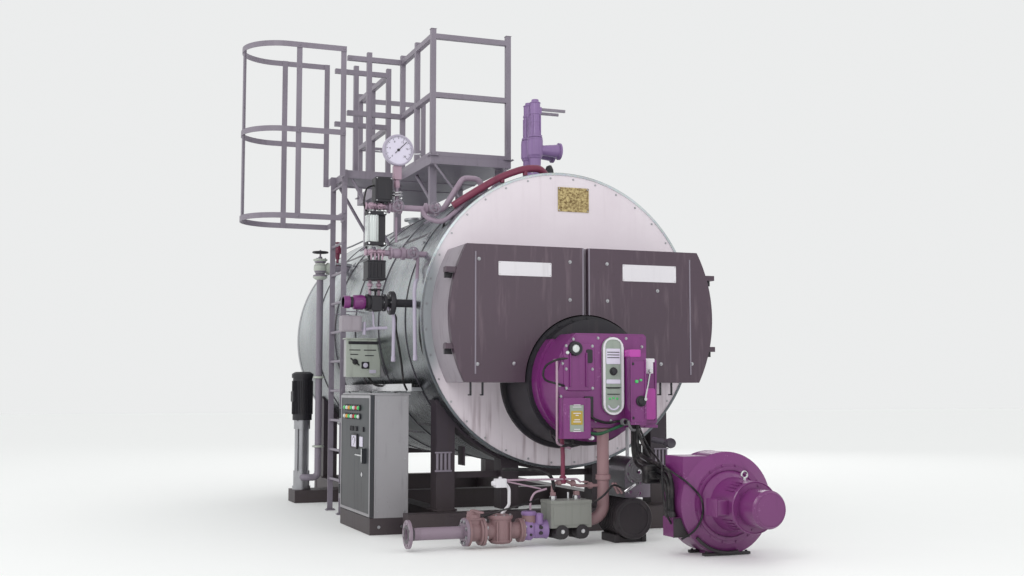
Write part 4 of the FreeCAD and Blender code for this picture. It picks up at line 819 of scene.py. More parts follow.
fixed("fan_cradle", "black_iron",
    tube(lay(FX + (FAN_R - 0.018) * np.cos(cradle), FZ + (FAN_R - 0.018) * np.sin(cradle), fan.y0 + 0.012, "y"),
        0.012, 10), block(FX - 0.18, FX + 0.18, fan.y0 + 0.03, fan.y0 + 0.07, 0.0, 0.02, 0.004),
    block(FX - 0.18, FX + 0.18, fan.y1 - 0.06, fan.y1 - 0.02, 0.0, 0.02, 0.004),
    copies(bolt("z", 0.01), [(FX + x, y, 0.02) for x in (-0.155, 0.155) for y in (fan.y0 + 0.05, fan.y1 - 0.04)]))
terminal = block(-0.004, 0.134, 0.066, 0.072, 0.13, 0.26, 0.006, base=(fan.x0, fan.y0, 0))
fixed("fan_terminal_cover", "black_iron",
    terminal,
    *[turned("z", fan.x0 + x, fan.y0 + y, [(0.255, 0.02), (0.275, 0.022), (0.285, 0.018), (0.3, 0.016)], 16)
        for x, y in ((0.017, 0.187), (0.017, 0.152), (0.017, 0.117))],
    copies(bolt("y", 0.006, -1), [(fan.x0 + x, fan.y0 + 0.066, z) for x in (0.012, 0.118) for z in (0.145, 0.245)]))
fixed("fan_face_lead", "cable_black",
    pipe([(fan.x0 - 0.02, 0.16, 0.6), (0.16, -0.004, 0.5), (0.262, -0.016, 0.39), (0.262, -0.016, 0.27),
        (0.2, 0, 0.17), (0.13, 0.05, 0.12)], 0.12, 0.007, base=(0, fan.y0, 0)))
fixed("cable_wrap", "cable_black",
    block(0.06, 0.17, -1.42, -1.3, 0.5, 0.56, 0.012), block(0.04, 0.19, -1.4, -1.33, 0.47, 0.6, 0.01),
    pipe([(0.17, -0.98, 0.87), (0.2, -1.02, 0.74), (0.19, -1.2, 0.6), (0.13, -1.45, 0.5), (0.1, -1.62, 0.4),
        (0.1, -1.66, 0.3)], 0.1, 0.012),
    pipe([(0.2, -0.96, 0.87), (0.24, -1.02, 0.72), (0.22, -1.25, 0.62), (0.15, -1.42, 0.6), (0.06, -1.6, 0.62),
        (0.02, -1.68, 0.5), (0.03, -1.7, 0.3), (0.085, -1.68, 0.22)], 0.12, 0.008))
fixed("duct_seams", "burner_magenta",
    frame_bar(duct.x0 - 0.004, duct.x1 + 0.008, duct.z0 + 0.03, duct.z1 - 0.006, 0.016, "y", duct.y0 - 0.006,
        duct.y0 + 0.002, 0.01),
    block(duct.x0 - 0.002, duct.x1 + 0.012, duct.y0 - 0.012, duct.y1, duct.z0 - 0.006, duct.z0 + 0.016, 0.004))
fixed("duct_fitting", "black_iron",
    turned("y", duct.x1 - 0.03, 0.74, [(-1.165, 0.024), (-1.17, 0.034), (-1.15, 0.038), (-1.12, 0.034),
        (-1.1, 0.03)], 28), rod((duct.x1 - 0.03, -1.12, 0.74), (duct.x1 - 0.1, -1.0, 0.76), 0.022),
    paint=flange_dark)

# ---------------------------------------------------------------- oil pump set

pump, drum = at["oil_pump"], at["oil_pump_motor"]
DX, DZ = drum.x, 0.178
disc_x, disc_z = pump.x, 0.52
ribs = [turned("y", disc_x, disc_z, [(-0.004, r), (-0.016, r + 0.002), (-0.016, r + 0.006), (-0.004, r + 0.008)],
    48, True, base=pump.y0) for r in (0.03, 0.05, 0.07, 0.09)]
fixed("pump_cover", "bare_metal",
    turned("y", disc_x, disc_z, [(0, 0.102), (-0.008, 0.1), (-0.01, 0.02)], 48, base=pump.y0), *ribs,
    paint=grey_hose)
fixed("pump_cover_bolts", "bare_metal",
    bolted("y", 0.008, -1, disc_x, disc_z, pump.y0 - 0.008, 0.088, 8, 10),
    turned("y", disc_x, disc_z, [(-0.01, 0.018), (-0.034, 0.016), (-0.036, 0.01)], 20, base=pump.y0),
    copies(bolt("y", 0.012, -1), [(pump.x0 + 0.04, pump.y0 - 0.001, 0.37),
        (pump.x0 + 0.12, pump.y0 - 0.001, 0.36)]),
    rod((-0.02, -0.03, 0.375), (0.07, -0.03, 0.43), 0.012, base=(pump.x0, pump.y0, 0)), paint=chrome)
fixed("drum_motor_ribs", "black_iron",
    turned("y", DX, DZ, [(-0.004, 0.118), (-0.01, 0.128), (-0.01, 0.146), (0, 0.152), (0.02, 0.152), (0.02, 0.118)],
        64, True, base=drum.y0),
    *[band("y", DX, DZ, y, y + 0.005, 0.146, 0.156, 64) for y in np.arange(drum.y0 + 0.06, drum.y1 - 0.03, 0.03)],
    bolted("y", 0.007, -1, DX, DZ, drum.y0 - 0.01, 0.137, 6, 30),
    block(DX - 0.13, DX - 0.09, drum.y0 + 0.05, drum.y1 - 0.05, 0.0, 0.06, 0.004),
    block(DX + 0.09, DX + 0.13, drum.y0 + 0.05, drum.y1 - 0.05, 0.0, 0.06, 0.004))

# ---------------------------------------------------------------- gas train

inlet, valves, gas_box, riser = at["gas_inlet_pipe"], at["gas_valves"], at["gas_valve_box"], at["gas_riser"]
GY, GZ = inlet.y, inlet.z
fixed("inlet_flange_face", "gas_salmon",
    turned("x", GY, GZ, [(-0.002, 0.042), (-0.002, 0.066), (0.002, 0.068), (0.002, 0.042)], 48, True,
        base=inlet.x0),
    turned("x", GY, GZ, [(0.019, 0.046), (0.024, 0.058), (0.05, 0.046), (0.05, 0.044)], 48, True, base=inlet.x0),
    paint=flange_dark)
joint_x = inlet.x1
filter_x0, filter_x1 = joint_x + 0.11, joint_x + 0.41
fixed("gas_flange_bolts", "bare_metal",
    bolted("x", 0.012, -1, GY, GZ, joint_x - 0.02, 0.08, 8, 22.5),
    bolted("x", 0.012, 1, GY, GZ, filter_x0 + 0.02, 0.088, 8, 22.5),
    *[rod((joint_x - 0.02, y, z), (joint_x + 0.01, y, z), 0.007, 8)
        for _, y, z in ring_of("x", GY, GZ, 0, 0.08, 8, 22.5)])
fixed("gas_flanges", "gas_salmon",
    band("x", GY, GZ, joint_x + 0.002, joint_x + 0.018, 0.06, 0.1, 48),
    *[band("x", GY, GZ, x, x + 0.016, 0.055, radius, 48) for x, radius in ((filter_x0 - 0.018, 0.095),
        (filter_x1 - 0.016, 0.085), (filter_x1 + 0.002, 0.085))])
cock_middle = joint_x + 0.055
fixed("gas_cock", "gas_salmon",
    turned("z", cock_middle, GY, [(-0.045, 0.05), (-0.02, 0.05), (-0.005, 0.03), (0.012, 0.026)], 32,
        base=valves.z1),
    tile("z", -0.014, 0.014, -0.2, 0.02, 0.012, 0.002, 0.014, base=(cock_middle, GY, valves.z1)),
    tile("z", -0.06, 0.06, -0.045, 0.045, 0.01, -0.06, -0.045, base=(cock_middle, GY, valves.z1)))
filter_x = (filter_x0 + filter_x1) / 2
fixed("gas_filter_lid", "gas_salmon",
    turned("z", filter_x, GY, [(0.085, 0.086), (0.098, 0.092), (0.112, 0.09), (0.118, 0.06), (0.122, 0.02)], 48,
        base=GZ),
    turned("z", filter_x, GY, [(-0.09, 0.05), (-0.086, 0.07), (-0.07, 0.086), (-0.06, 0.086)], 40, base=GZ),
    *[tile("y", filter_x + x - 0.006, filter_x + x + 0.006, GZ - 0.07, GZ + 0.07, 0.004, GY - 0.082, GY + 0.082,
        0.002) for x in (-0.05, 0.0, 0.05)])
fixed("gas_filter_bolts", "bare_metal",
    bolted("z", 0.008, 1, filter_x, GY, GZ + 0.112, 0.076, 8),
    bolted("x", 0.01, 1, GY, GZ, filter_x1 + 0.018, 0.074, 8, 22.5))
purple_x = filter_x1 + 0.02
fixed("governor_parts", "burner_magenta",
    turned("x", GY, GZ, [(purple_x, 0.063), (purple_x + 0.02, 0.074), (purple_x + 0.06, 0.076),
        (purple_x + 0.075, 0.064), (gas_box.x0 - 0.03, 0.064), (gas_box.x0 - 0.002, 0.07)], 40),
    turned("z", filter_x1 + 0.07, GY, [(0.105, 0.053), (0.12, 0.058), (0.132, 0.05), (0.138, 0.02)], 32, base=GZ),
    turned("z", filter_x1 + 0.14, GY - 0.03, [(0.04, 0.03), (0.11, 0.03), (0.12, 0.02)], 24, base=GZ), paint=violet)
fixed("governor_screws", "black_iron",
    turned("z", filter_x1 + 0.07, GY, [(0.136, 0.018), (0.15, 0.016), (0.152, 0.01)], 20, base=GZ),
    copies(bolt("y", 0.008, -1), [(purple_x + 0.04, GY - 0.072, GZ + z) for z in (-0.03, 0.03)]),
    *[turned("y", purple_x + 0.12, GZ + z, [(GY - 0.075, 0.012), (GY - 0.05, 0.016)], 16) for z in (-0.02, 0.02)])

box_green = coat("gas_box_grey_green", srgb(142, 144, 138), 0.45, 0.12, 0.3, (84, 88, 80), chips=0.2)
frame["nodes"]["gas_valve_box"].data.materials[0] = box_green
fixed("gas_box_lid", "box_grey",
    block(gas_box.x0 - 0.004, gas_box.x1 + 0.004, gas_box.y0 - 0.004, gas_box.y1 + 0.004, gas_box.z1 - 0.022,
        gas_box.z1 + 0.004, 0.006),
    tile("y", gas_box.x0 + 0.02, gas_box.x1 - 0.02, gas_box.z0 + 0.09, gas_box.z1 - 0.035, 0.006,
        gas_box.y0 - 0.004, gas_box.y0 + 0.002), paint=box_green)
coils = []
for x in (gas_box.x0 + 0.085, gas_box.x0 + 0.245):
    coils += [turned("z", x, gas_box.y, [(-0.005, 0.05), (-0.004, 0.062), (0.05, 0.066), (0.068, 0.062)], 40,
        base=gas_box.z0), turned("y", x, gas_box.z0 + 0.04, [(-0.012, 0.03), (-0.01, 0.05), (0.03, 0.056),
        (0.12, 0.056)], 40, base=gas_box.y0)]
fixed("gas_valve_coils", "black_iron", *coils)
fixed("gas_box_studs", "bare_metal",
    copies(bolt("y", 0.012, -1), [(x, gas_box.y0 - 0.014, gas_box.z0 + 0.045)
        for x in (gas_box.x0 + 0.085, gas_box.x0 + 0.245)]),
    block(0.03, 0.072, -0.03, 0.012, 0, 0.036, base=(gas_box.x0, gas_box.y, gas_box.z1)),
    block(0.215, 0.262, -0.03, 0.012, 0, 0.036, base=(gas_box.x0, gas_box.y, gas_box.z1)),
    rod((0.167, -0.02, -0.002), (0.167, -0.02, 0.06), 0.008, base=(gas_box.x0, gas_box.y, gas_box.z1)),
    paint=chrome)
fixed("gas_small_valves", "gas_salmon",
    block(0.035, 0.067, -0.028, 0.01, 0.034, 0.06, base=(gas_box.x0, gas_box.y, gas_box.z1)),
    block(0.22, 0.257, -0.028, 0.01, 0.034, 0.064, base=(gas_box.x0, gas_box.y, gas_box.z1)),
    pipe([(gas_box.x0 + 0.05, 0, 0.05), (gas_box.x0 + 0.06, 0.02, 0.12), (gas_box.x0 + 0.16, 0.02, 0.14),
        (gas_box.x0 + 0.25, 0, 0.1), (riser.x0 + 0.1, 0, 0.1)], 0.03, 0.012, base=(0, GY, gas_box.z1)),
    *[turned("x", GY + 0.01, gas_box.z1 + z, [(x, 0.014), (x + 0.008, 0.024), (x + 0.03, 0.024),
        (x + 0.038, 0.014)], 20) for x, z in ((gas_box.x0 + 0.09, 0.13), (gas_box.x0 + 0.2, 0.12),
        (riser.x0 + 0.02, 0.1))], hand_wheel("z", gas_box.x0 + 0.3, GY - 0.02, gas_box.z1 + 0.13, 0.026, 0.004))
stand_x, stand_z = joint_x + 0.25, 0.478
fixed("impulse_valve", "front_cream",
    tile("z", -0.038, 0.046, -0.05, 0.02, 0.012, -0.05, 0.012, base=(stand_x, GY, stand_z)),
    turned("x", GY - 0.015, stand_z - 0.02, [(-0.06, 0.016), (-0.038, 0.024), (-0.03, 0.024)], 20, base=stand_x),
    turned("z", stand_x + 0.004, GY - 0.015, [(0.01, 0.014), (0.022, 0.012), (0.026, 0.006)], 16, base=stand_z),
    pipe([(stand_x + 0.05, GY - 0.01, stand_z - 0.03), (stand_x + 0.074, GY - 0.01, stand_z - 0.06),
        (stand_x + 0.074, GY - 0.01, 0.3), (filter_x + 0.01, GY, 0.236)], 0.02, 0.012), paint=white_paint)
fixed("impulse_tubes", "gas_salmon",
    pipe([(stand_x + 0.04, -0.01, 0), (riser.x0 - 0.08, -0.02, -0.003), (riser.x0 - 0.047, -0.01, -0.028)], 0.03,
        0.0075, base=(0, GY, stand_z)),
    pipe([(stand_x + 0.06, GY - 0.005, stand_z - 0.01), (gas_box.x0 - 0.04, GY, 0.408)], 0.03, 0.006),
    pipe([(-0.13, -0.02, 0.26), (-0.13, -0.02, 0.33), (-0.1, -0.02, 0.385), (0, -0.01, 0.408)], 0.05, 0.008,
        base=(gas_box.x0, GY, 0)), paint=pink_paint)
fixed("gas_sense_hose", "cable_black",
    pipe([(-0.72, GY + 0.25, 0.54), (-0.515, GY + 0.02, 0.547), (-0.424, GY, 0.496), (-0.411, GY, 0.4)], 0.06,
        0.013),
    pipe([(-1.0, GY + 0.02, 0.2), (-0.85, GY - 0.07, 0.27), (-0.7, GY - 0.08, 0.3), (-0.55, GY - 0.04, 0.34)], 0.1,
        0.007),
    pipe([(-0.12, GY - 0.06, 0.3), (-0.04, GY - 0.09, 0.36), (0.02, GY - 0.1, 0.44), (0.1, GY - 0.1, 0.4)], 0.05,
        0.008))
fixed("drain_pipe_dark", "burner_magenta",
    pipe([(-0.34, -0.78, 0.8), (-0.34, -0.8, 0.66), (-0.34, -0.8, 0.46)], 0.02, 0.016),
    turned("z", -0.34, -0.8, [(0.44, 0.02), (0.46, 0.026), (0.49, 0.026), (0.5, 0.018)], 20), paint=dark_red)
fixed("riser_union", "gas_salmon",
    turned("z", riser.x1 - 0.044, GY, [(0.46, 0.046), (0.465, 0.056), (0.5, 0.056), (0.505, 0.046)], 32),
    turned("z", riser.x1 - 0.044, GY, [(-0.03, 0.046), (-0.026, 0.07), (-0.008, 0.07), (-0.004, 0.046)], 32,
        base=riser.z1),
    *[rod((riser.x1 - 0.044 + x, GY - 0.03, 0.44), (riser.x1 - 0.044 + x * 1.6, GY - 0.06, 0.36), 0.01)
        for x in (0.06, 0.08)])

# ---------------------------------------------------------------- control cabinet

cab, leaf = at["cabinet_body"], at["cabinet_door"]
leaf_x = leaf.x0 + 0.03
side_frame = [block(0.002, 0.012, -0.003, 0.001, cab.z0 + 0.01, cab.z1 - 0.01, 0.001, base=(cab.x0, cab.y0, 0)),
    block(-0.012, -0.002, -0.003, 0.001, cab.z0 + 0.01, cab.z1 - 0.01, 0.001, base=(cab.x1, cab.y0, 0)),
    block(cab.x0 - 0.02, cab.x1 + 0.012, cab.y0 - 0.01, cab.y1 + 0.01, cab.z1 - 0.002, cab.z1 + 0.012, 0.004)]
fixed("cabinet_trim", "cabinet_grey", *side_frame)
fixed("cabinet_side_screws", "bare_metal",
    copies(bolt("y", 0.006, -1), [(x, cab.y0, z) for x in (cab.x0 + 0.03, cab.x1 - 0.03)
        for z in (cab.z0 + 0.05, cab.z - 0.02, cab.z1 - 0.05)]))
piece("cabinet_door_frame", "cabinet_door", "cabinet_grey",
    frame_bar(leaf.y0 + 0.004, cab.y1 - 0.004, leaf.z0 + 0.004, leaf.z1 - 0.004, 0.022, "x", leaf_x - 0.004,
        leaf_x + 0.002, 0.01))
lamp = turned("x", 0, 0, [(0, 0.024), (-0.004, 0.026), (-0.01, 0.024), (-0.012, 0.018)], 24)
cap = turned("x", 0, 0, [(-0.01, 0.017), (-0.02, 0.016), (-0.026, 0.01), (-0.028, 0.004)], 24)
rows = [(leaf.y0 + y, leaf.z0 + z) for z in (0.78, 0.85) for y in (0.34, 0.42, 0.5, 0.58, 0.66, 0.74, 0.82)]
spots = [(leaf_x - 0.001, y, z) for y, z in rows]
piece("cabinet_lamp_rings", "cabinet_door", "black_iron", copies(lamp, spots))
piece("cabinet_lamps_white", "cabinet_door", "gauge_glass", copies(cap, spots[0::3]))
piece("cabinet_lamps_green", "cabinet_door", "panel_face", copies(cap, spots[1::3]), paint=green_lens)
piece("cabinet_lamps_red", "cabinet_door", "panel_face", copies(cap, spots[2::6]), paint=red_lens)
piece("cabinet_lamps_amber", "cabinet_door", "panel_face", copies(cap, spots[5::6]), paint=amber_lens)
piece("cabinet_meter", "cabinet_door", "black_iron",
    frame_bar(0.4, 0.61, 0.517, 0.64, 0.014, "x", -0.014, 0.001, 0.012, base=(leaf.y0, leaf.z0, leaf_x)),
    *[tile("x", leaf.y0 + y, leaf.y0 + y + 0.03, 0.66, 0.7, 0.006, -0.012, 0.001, base=(0, leaf.z0, leaf_x))
        for y in (0.2, 0.42, 0.47, 0.55, 0.62)])
piece("cabinet_meter_face", "cabinet_door", "gauge_case",
    tile("x", 0.412, 0.598, 0.53, 0.628, 0.006, -0.009, 0.001, base=(leaf.y0, leaf.z0, leaf_x)),
    tile("x", 0.24, 0.34, 0.54, 0.62, 0.006, -0.005, 0.001, base=(leaf.y0, leaf.z0, leaf_x)), paint=dial_white)
meter = np.linspace(radians(40), radians(140), 9)
piece("cabinet_meter_marks", "cabinet_door", "black_iron",
    *[rod((leaf_x - 0.0095, leaf.y0 + 0.505 + 0.062 * np.cos(a), leaf.z0 + 0.545 + 0.062 * np.sin(a)),
        (leaf_x - 0.0095, leaf.y0 + 0.505 + 0.072 * np.cos(a), leaf.z0 + 0.545 + 0.072 * np.sin(a)), 0.0015, 6)
        for a in meter],
    rod((-0.0105, 0.505, 0.545), (-0.0105, 0.47, 0.6), 0.0018, 6, base=(leaf_x, leaf.y0, leaf.z0)))
piece("cabinet_handle", "cabinet_door", "bare_metal",
    pipe([(0, 0.165, 0.474), (-0.028, 0.165, 0.474), (-0.028, 0.38, 0.474), (0, 0.38, 0.474)], 0.012, 0.007,
        base=(leaf_x, leaf.y0, leaf.z0)),
    turned("x", leaf.y0 + 0.247, leaf.z0 + 0.32, [(0, 0.018), (-0.006, 0.018), (-0.01, 0.012)], 20, base=leaf_x),
    block(-0.002, 0.006, 0.158, 0.176, 0.42, 0.53, 0.003, base=(leaf.x0, leaf.y0, leaf.z0)), paint=chrome)
fixed("cabinet_foot_bolts", "bare_metal",
    copies(bolt("y", 0.01, -1), [(x, cab.y0 - 0.002, 0.06) for x in (cab.x0 + 0.04, cab.x1 - 0.05)]))

# ---------------------------------------------------------------- ladder, cage and platform

ladder, deck = at["ladder"], at["platform_deck"]
hoops, cage, rails = at["cage_hoops"], at["cage_bars"], at["rails_across"]
stringer_y, wall_stay_z = (ladder.y0 + 0.006, ladder.y1 - 0.018), 1.85
first_rung, rung_pitch, rung_count = 0.299, 0.275, 11
rung_z = first_rung + rung_pitch * np.arange(rung_count)
fixed("ladder_welds", "rail_grey",
    *[copies(turned("y", 0, 0, [(-0.009, 0.014), (-0.007, 0.018), (0.007, 0.018), (0.009, 0.014)], 14, base=y),
        lay(ladder.x, rung_z, 0, "y")) for y in stringer_y])
fixed("ladder_feet", "rail_grey",
    *[block(ladder.x0 - 0.02, ladder.x1 + 0.02, y - 0.03, y + 0.03, 0.0, 0.01) for y in stringer_y],
    *[block(ladder.x1 - 0.01, -1.19, y - 0.02, y + 0.02, wall_stay_z, wall_stay_z + 0.008, 0.002)
        for y in stringer_y])
fixed("ladder_foot_bolts", "bare_metal",
    copies(bolt("z", 0.008), [(x, y, 0.01) for x in (ladder.x0 - 0.008, ladder.x1 + 0.008) for y in stringer_y]))
stay_z = [low + 0.025 for low in (hoops.z0, hoops.z0 + 0.795, hoops.z0 + 1.582)]
rivet = turned("y", 0, 0, [(0.0, 0.011), (-0.004, 0.01), (-0.007, 0.005)], 12)
rivet_x = (cage.x1 - 0.025, -1.805)
rivet_spots = [(x, hoops.y0, z) for z in stay_z for x in rivet_x]
fixed("cage_rivets", "rail_grey",
    copies(rivet, rivet_spots),
    copies(turned("y", 0, 0, [(0.0, 0.011), (0.004, 0.01), (0.007, 0.005)], 12),
        [(x, hoops.y1, z) for z in stay_z for x in rivet_x]))

fixed("cage_crown_bar", "rail_grey",
    block(0.008, 0.036, -0.006, 0.006, cage.z0, cage.z1 - 0.002, 0.003, base=(hoops.x0, hoops.y, 0)))

GRATING_PITCH, CROSS_PITCH, POST, TOE = 0.06, 0.1, 0.045, 0.04
floor_z, deck_x0, deck_y0 = deck.z1, at["rails_along"].x0, deck.y0
bars = [block(deck_x0 + 0.01, deck.x1 - 0.01, y, y + 0.006, floor_z - 0.001, floor_z + 0.004, 0.001)
        for y in np.arange(deck.y0 + 0.04, deck.y1 - 0.03, GRATING_PITCH)]
cross = [block(x, x + 0.006, deck.y0 + 0.01, deck.y1 - 0.01, floor_z - 0.001, floor_z + 0.003, 0.001)
         for x in np.arange(deck_x0 + 0.06, deck.x1 - 0.03, CROSS_PITCH)]
landing = [block(ladder.x1 + 0.02, deck_x0 - 0.005, y, y + 0.006, floor_z - 0.001, floor_z + 0.004, 0.001)
           for y in np.arange(2.06, 2.58, GRATING_PITCH)]
fixed("deck_grating", "rail_grey", *bars, *cross, *landing)
fixed("toe_boards", "rail_grey",
    block(deck_x0, deck.x1, deck_y0 + 0.002, deck_y0 + 0.008, floor_z, floor_z + TOE, 0.002),
    block(deck_x0, deck.x1, deck.y1 - 0.008, deck.y1 - 0.002, floor_z, floor_z + TOE, 0.002),
    block(deck_x0 + 0.002, deck_x0 + 0.008, deck_y0, 2.03, floor_z, floor_z + TOE, 0.002),
    block(deck_x0 + 0.002, deck_x0 + 0.008, 2.6, deck.y1, floor_z, floor_z + TOE, 0.002),
    block(deck.x1 - 0.008, deck.x1 - 0.002, deck_y0, deck.y1, floor_z, floor_z + TOE, 0.002))
low_z = deck.z0
brace_y = deck_y0 + 0.012
fixed("deck_braces", "rail_grey",
    rod((deck_x0 + 0.03, brace_y, low_z + 0.01), (-0.5, brace_y, 2.785), 0.01),
    rod((deck.x1 - 0.03, brace_y, low_z + 0.01), (-0.27, brace_y, 2.865), 0.01),
    rod((0.06, 0.65, 0), (0.06, 0.16, -0.32), 0.016, base=(deck_x0, deck_y0, low_z)),
    rod((0.06, -0.7, 0), (0.06, -0.2, -0.32), 0.016, base=(deck_x0, deck.y1, low_z)),
    *[rod((ladder.x1 + 0.05, y, low_z), (-0.9, y, 2.5), 0.016) for y in (2.06, 2.57)],
    *[block(ladder.x1, deck.x1, y, y + 0.05, low_z - 0.006, low_z + 0.002, 0.002) for y in (2.03, 2.55)])
feet = [(x, y, z) for x in (deck_x0 + 0.06, deck.x1 - 0.06) for y in (deck_y0 + 0.15, deck_y0 + 1.3, deck_y0 + 2.5)
        for z in (AXLE_Z + np.sqrt(RADIUS ** 2 - x ** 2),)]
fixed("support_pads", "rail_grey",
    *[spun(block(x - 0.07, x + 0.07, y - 0.07, y + 0.07, z - 0.004, z + 0.01, 0.003), "y", x, z,
        -np.degrees(np.arcsin(x / RADIUS))) for x, y, z in feet])
post_x, post_y = (deck_x0, deck.x1 - POST), (deck_y0, deck.y1 - POST)
posts = [(x + POST / 2, y + POST / 2, floor_z) for x in post_x for y in post_y]
plates = copies(block(-0.045, 0.045, -0.045, 0.045, 0.0, 0.008, 0.003), posts)
fixed("post_plates", "rail_grey",
    plates,
    *[block(-0.005, 0.05, -0.005, 0.05, -0.004, 0, 0.002, base=(x, y, rails.z1)) for y in post_y for x in post_x])
fixed("post_plate_bolts", "bare_metal",
    *[copies(bolt("z", 0.006), [(x + a, y + b, floor_z + 0.008) for a in (-0.034, 0.034) for b in (-0.034, 0.034)])
        for x, y, _ in posts])

# ---------------------------------------------------------------- safety valves, steam outlet and crown

crown = shell.z1
valves_box = at["safety_valves"]
for number, lever in enumerate(("relief_lever_front", "relief_lever_rear")):
    y = at[lever].y
    fixed(f"safety_valve_flange_{number}", "black_iron",
        turned("z", 0, y, [(0.003, 0.06), (0.012, 0.066), (0.03, 0.05), (0.032, 0.045)], 36, base=crown),
        band("z", 0, y, crown + 0.038, crown + 0.058, 0.05, 0.072, 40), paint=dark_red)
    outlet = crown + 0.3
    fixed(f"safety_valve_bolts_{number}", "bare_metal",
        bolted("z", 0.009, 1, 0, y, crown + 0.084, 0.058, 4, 45),
        bolted("z", 0.009, -1, 0, y, crown + 0.04, 0.058, 4, 45),
        bolted("x", 0.008, -1, y, outlet, 0.214, 0.06, 4, 45))
    fixed(f"safety_valve_bonnet_{number}", "valve_violet",
        *[band("z", 0, y, outlet + z, outlet + z + 0.016, r - 0.004, r, 36)
            for z, r in ((0.085, 0.066), (0.108, 0.062), (0.31, 0.05), (0.24, 0.048), (-0.07, 0.06))],
        spun(block(0.046, 0.056, y - 0.003, y + 0.003, outlet + 0.12, outlet + 0.3, 0.002), "z", 0, y,
            [45, 135, 225, 315]),
        turned("x", y, outlet, [(0.21, 0.066), (0.214, 0.074), (0.23, 0.074), (0.2325, 0.07), (0.2325, 0.05),
            (0.2, 0.046)], 40, True))
    fixed(f"safety_valve_cap_{number}", "valve_violet",
        turned("z", 0, y, [(-0.034, 0.046), (-0.03, 0.05), (-0.024, 0.046), (-0.02, 0.037)], 32,
            base=valves_box.z1))
    arm = at[lever]
    piece(f"relief_lever_grip_{number}", lever, "bare_metal",
        turned("x", y, arm.z, [(-0.07, 0.009), (-0.066, 0.013), (-0.008, 0.013), (-0.002, 0.008)], 16, base=arm.x1),
        paint=rail_paint)
    piece(f"relief_lever_eye_{number}", lever, "bare_metal",
        band("y", arm.x0 + 0.016, arm.z, y - 0.0095, y + 0.0095, 0.01, 0.0135, 20), paint=chrome)
steam = at["steam_outlet"]
fixed("steam_outlet_details", "bare_metal",
    turned("z", steam.x, steam.y, [(-0.006, 0.12), (0.004, 0.118), (0.014, 0.1), (0.02, 0.086)], 48, base=crown),
    turned("z", steam.x, steam.y, [(0, 0.079), (0.002, 0.08), (0.002, 0.1), (0, 0.102)], 48, True, base=steam.z1),
    turned("z", steam.x, steam.y, [(-0.05, 0.083), (-0.05, 0.09), (-0.022, 0.11), (-0.022, 0.083)], 48, True,
        base=steam.z1))
lug_y = (0.28, 4.62)
lug = prism(np.array([(-0.09, -0.01), (0.09, -0.01), (0.07, 0.07), (0.03, 0.11), (-0.03, 0.11), (-0.07, 0.07)]), "x",
            -0.012, 0.012, 0.003)
fixed("lifting_lugs", "black_iron",
    copies(lug, [(0.0, y, crown - 0.002) for y in lug_y]),
    *[band("x", y, crown + 0.066, -0.014, 0.014, 0.024, 0.034, 28) for y in lug_y])

# ---------------------------------------------------------------- level fittings on the left

glass, pots, gauge = at["gauge_glasses"], at["level_controllers"], at["pressure_gauge"]
LY, steam_z, water_z = glass.y, 2.58, 2.212
GX, GAUGE_Z, GAUGE_R, front = gauge.x, gauge.z, gauge.x1 - gauge.x, gauge.y0
fixed("gauge_bezel", "gauge_case",
    turned("y", GX, GAUGE_Z, [(0.03, GAUGE_R - 0.02), (0.03, GAUGE_R + 0.001), (-0.004, GAUGE_R + 0.001),
        (-0.01, GAUGE_R - 0.004), (-0.008, GAUGE_R - 0.012), (0.002, GAUGE_R - 0.014)], 72, True, base=front))
fixed("gauge_dial", "gauge_case",
    turned("y", GX, GAUGE_Z, [(0.001, GAUGE_R - 0.01), (-0.003, GAUGE_R - 0.013), (-0.0035, 0.01)], 72, base=front),
    paint=dial_white)
dial_first, dial_last = 225, -45
swing = np.linspace(dial_first, dial_last, 41)
tick = block(0.096, 0.105, front - 0.005, front - 0.003, -0.0006, 0.0006, 0.0003)
long_tick = block(0.088, 0.106, front - 0.0052, front - 0.003, -0.0014, 0.0014, 0.0004)
ticks = spun(tick, "y", 0, 0, swing)
long_ticks = spun(long_tick, "y", 0, 0, swing[::4])
arc = np.radians(np.linspace(dial_last, dial_first, 60))
fixed("gauge_scale", "black_iron",
    copies(ticks, [(GX, 0, GAUGE_Z)]), copies(long_ticks, [(GX, 0, GAUGE_Z)]),
    tube(lay(GX + 0.1075 * np.cos(arc), GAUGE_Z + 0.1075 * np.sin(arc), front - 0.0042, "y"), 0.0008, 5),
    rod((-0.028, -0.0075, -0.028), (0.066, -0.0075, 0.066), 0.0026, 6, base=(GX, front, GAUGE_Z)),
    turned("y", GX, GAUGE_Z, [(-0.003, 0.011), (-0.009, 0.011), (-0.011, 0.006)], 20, base=front))
numbers = []
for index, angle in enumerate(np.radians(swing[::8])):
    text = bpy.data.curves.new("dial_number", "FONT")
    text.body, text.size, text.align_x, text.align_y, text.extrude = str(index * 4), 0.022, "CENTER", "CENTER", 0.0003
    holder = bpy.data.objects.new("dial_number", text)
    bpy.context.scene.collection.objects.link(holder)
    flat = bpy.data.meshes.new_from_object(holder)
    spot = np.array((GX + 0.072 * np.cos(angle), front - 0.0042, GAUGE_Z + 0.072 * np.sin(angle)))
    points = np.zeros(len(flat.vertices) * 3)
    flat.vertices.foreach_get("co", points)
    points = points.reshape(-1, 3)
    corners = np.zeros(len(flat.loops), int)
    flat.loops.foreach_get("vertex_index", corners)
    sizes = np.zeros(len(flat.polygons), int)
    flat.polygons.foreach_get("loop_total", sizes)
    numbers.append((np.stack([points[:, 0], -points[:, 2], points[:, 1]], 1) + spot, corners, sizes))
    bpy.data.objects.remove(holder)
fixed("gauge_numbers", "black_iron", *numbers)
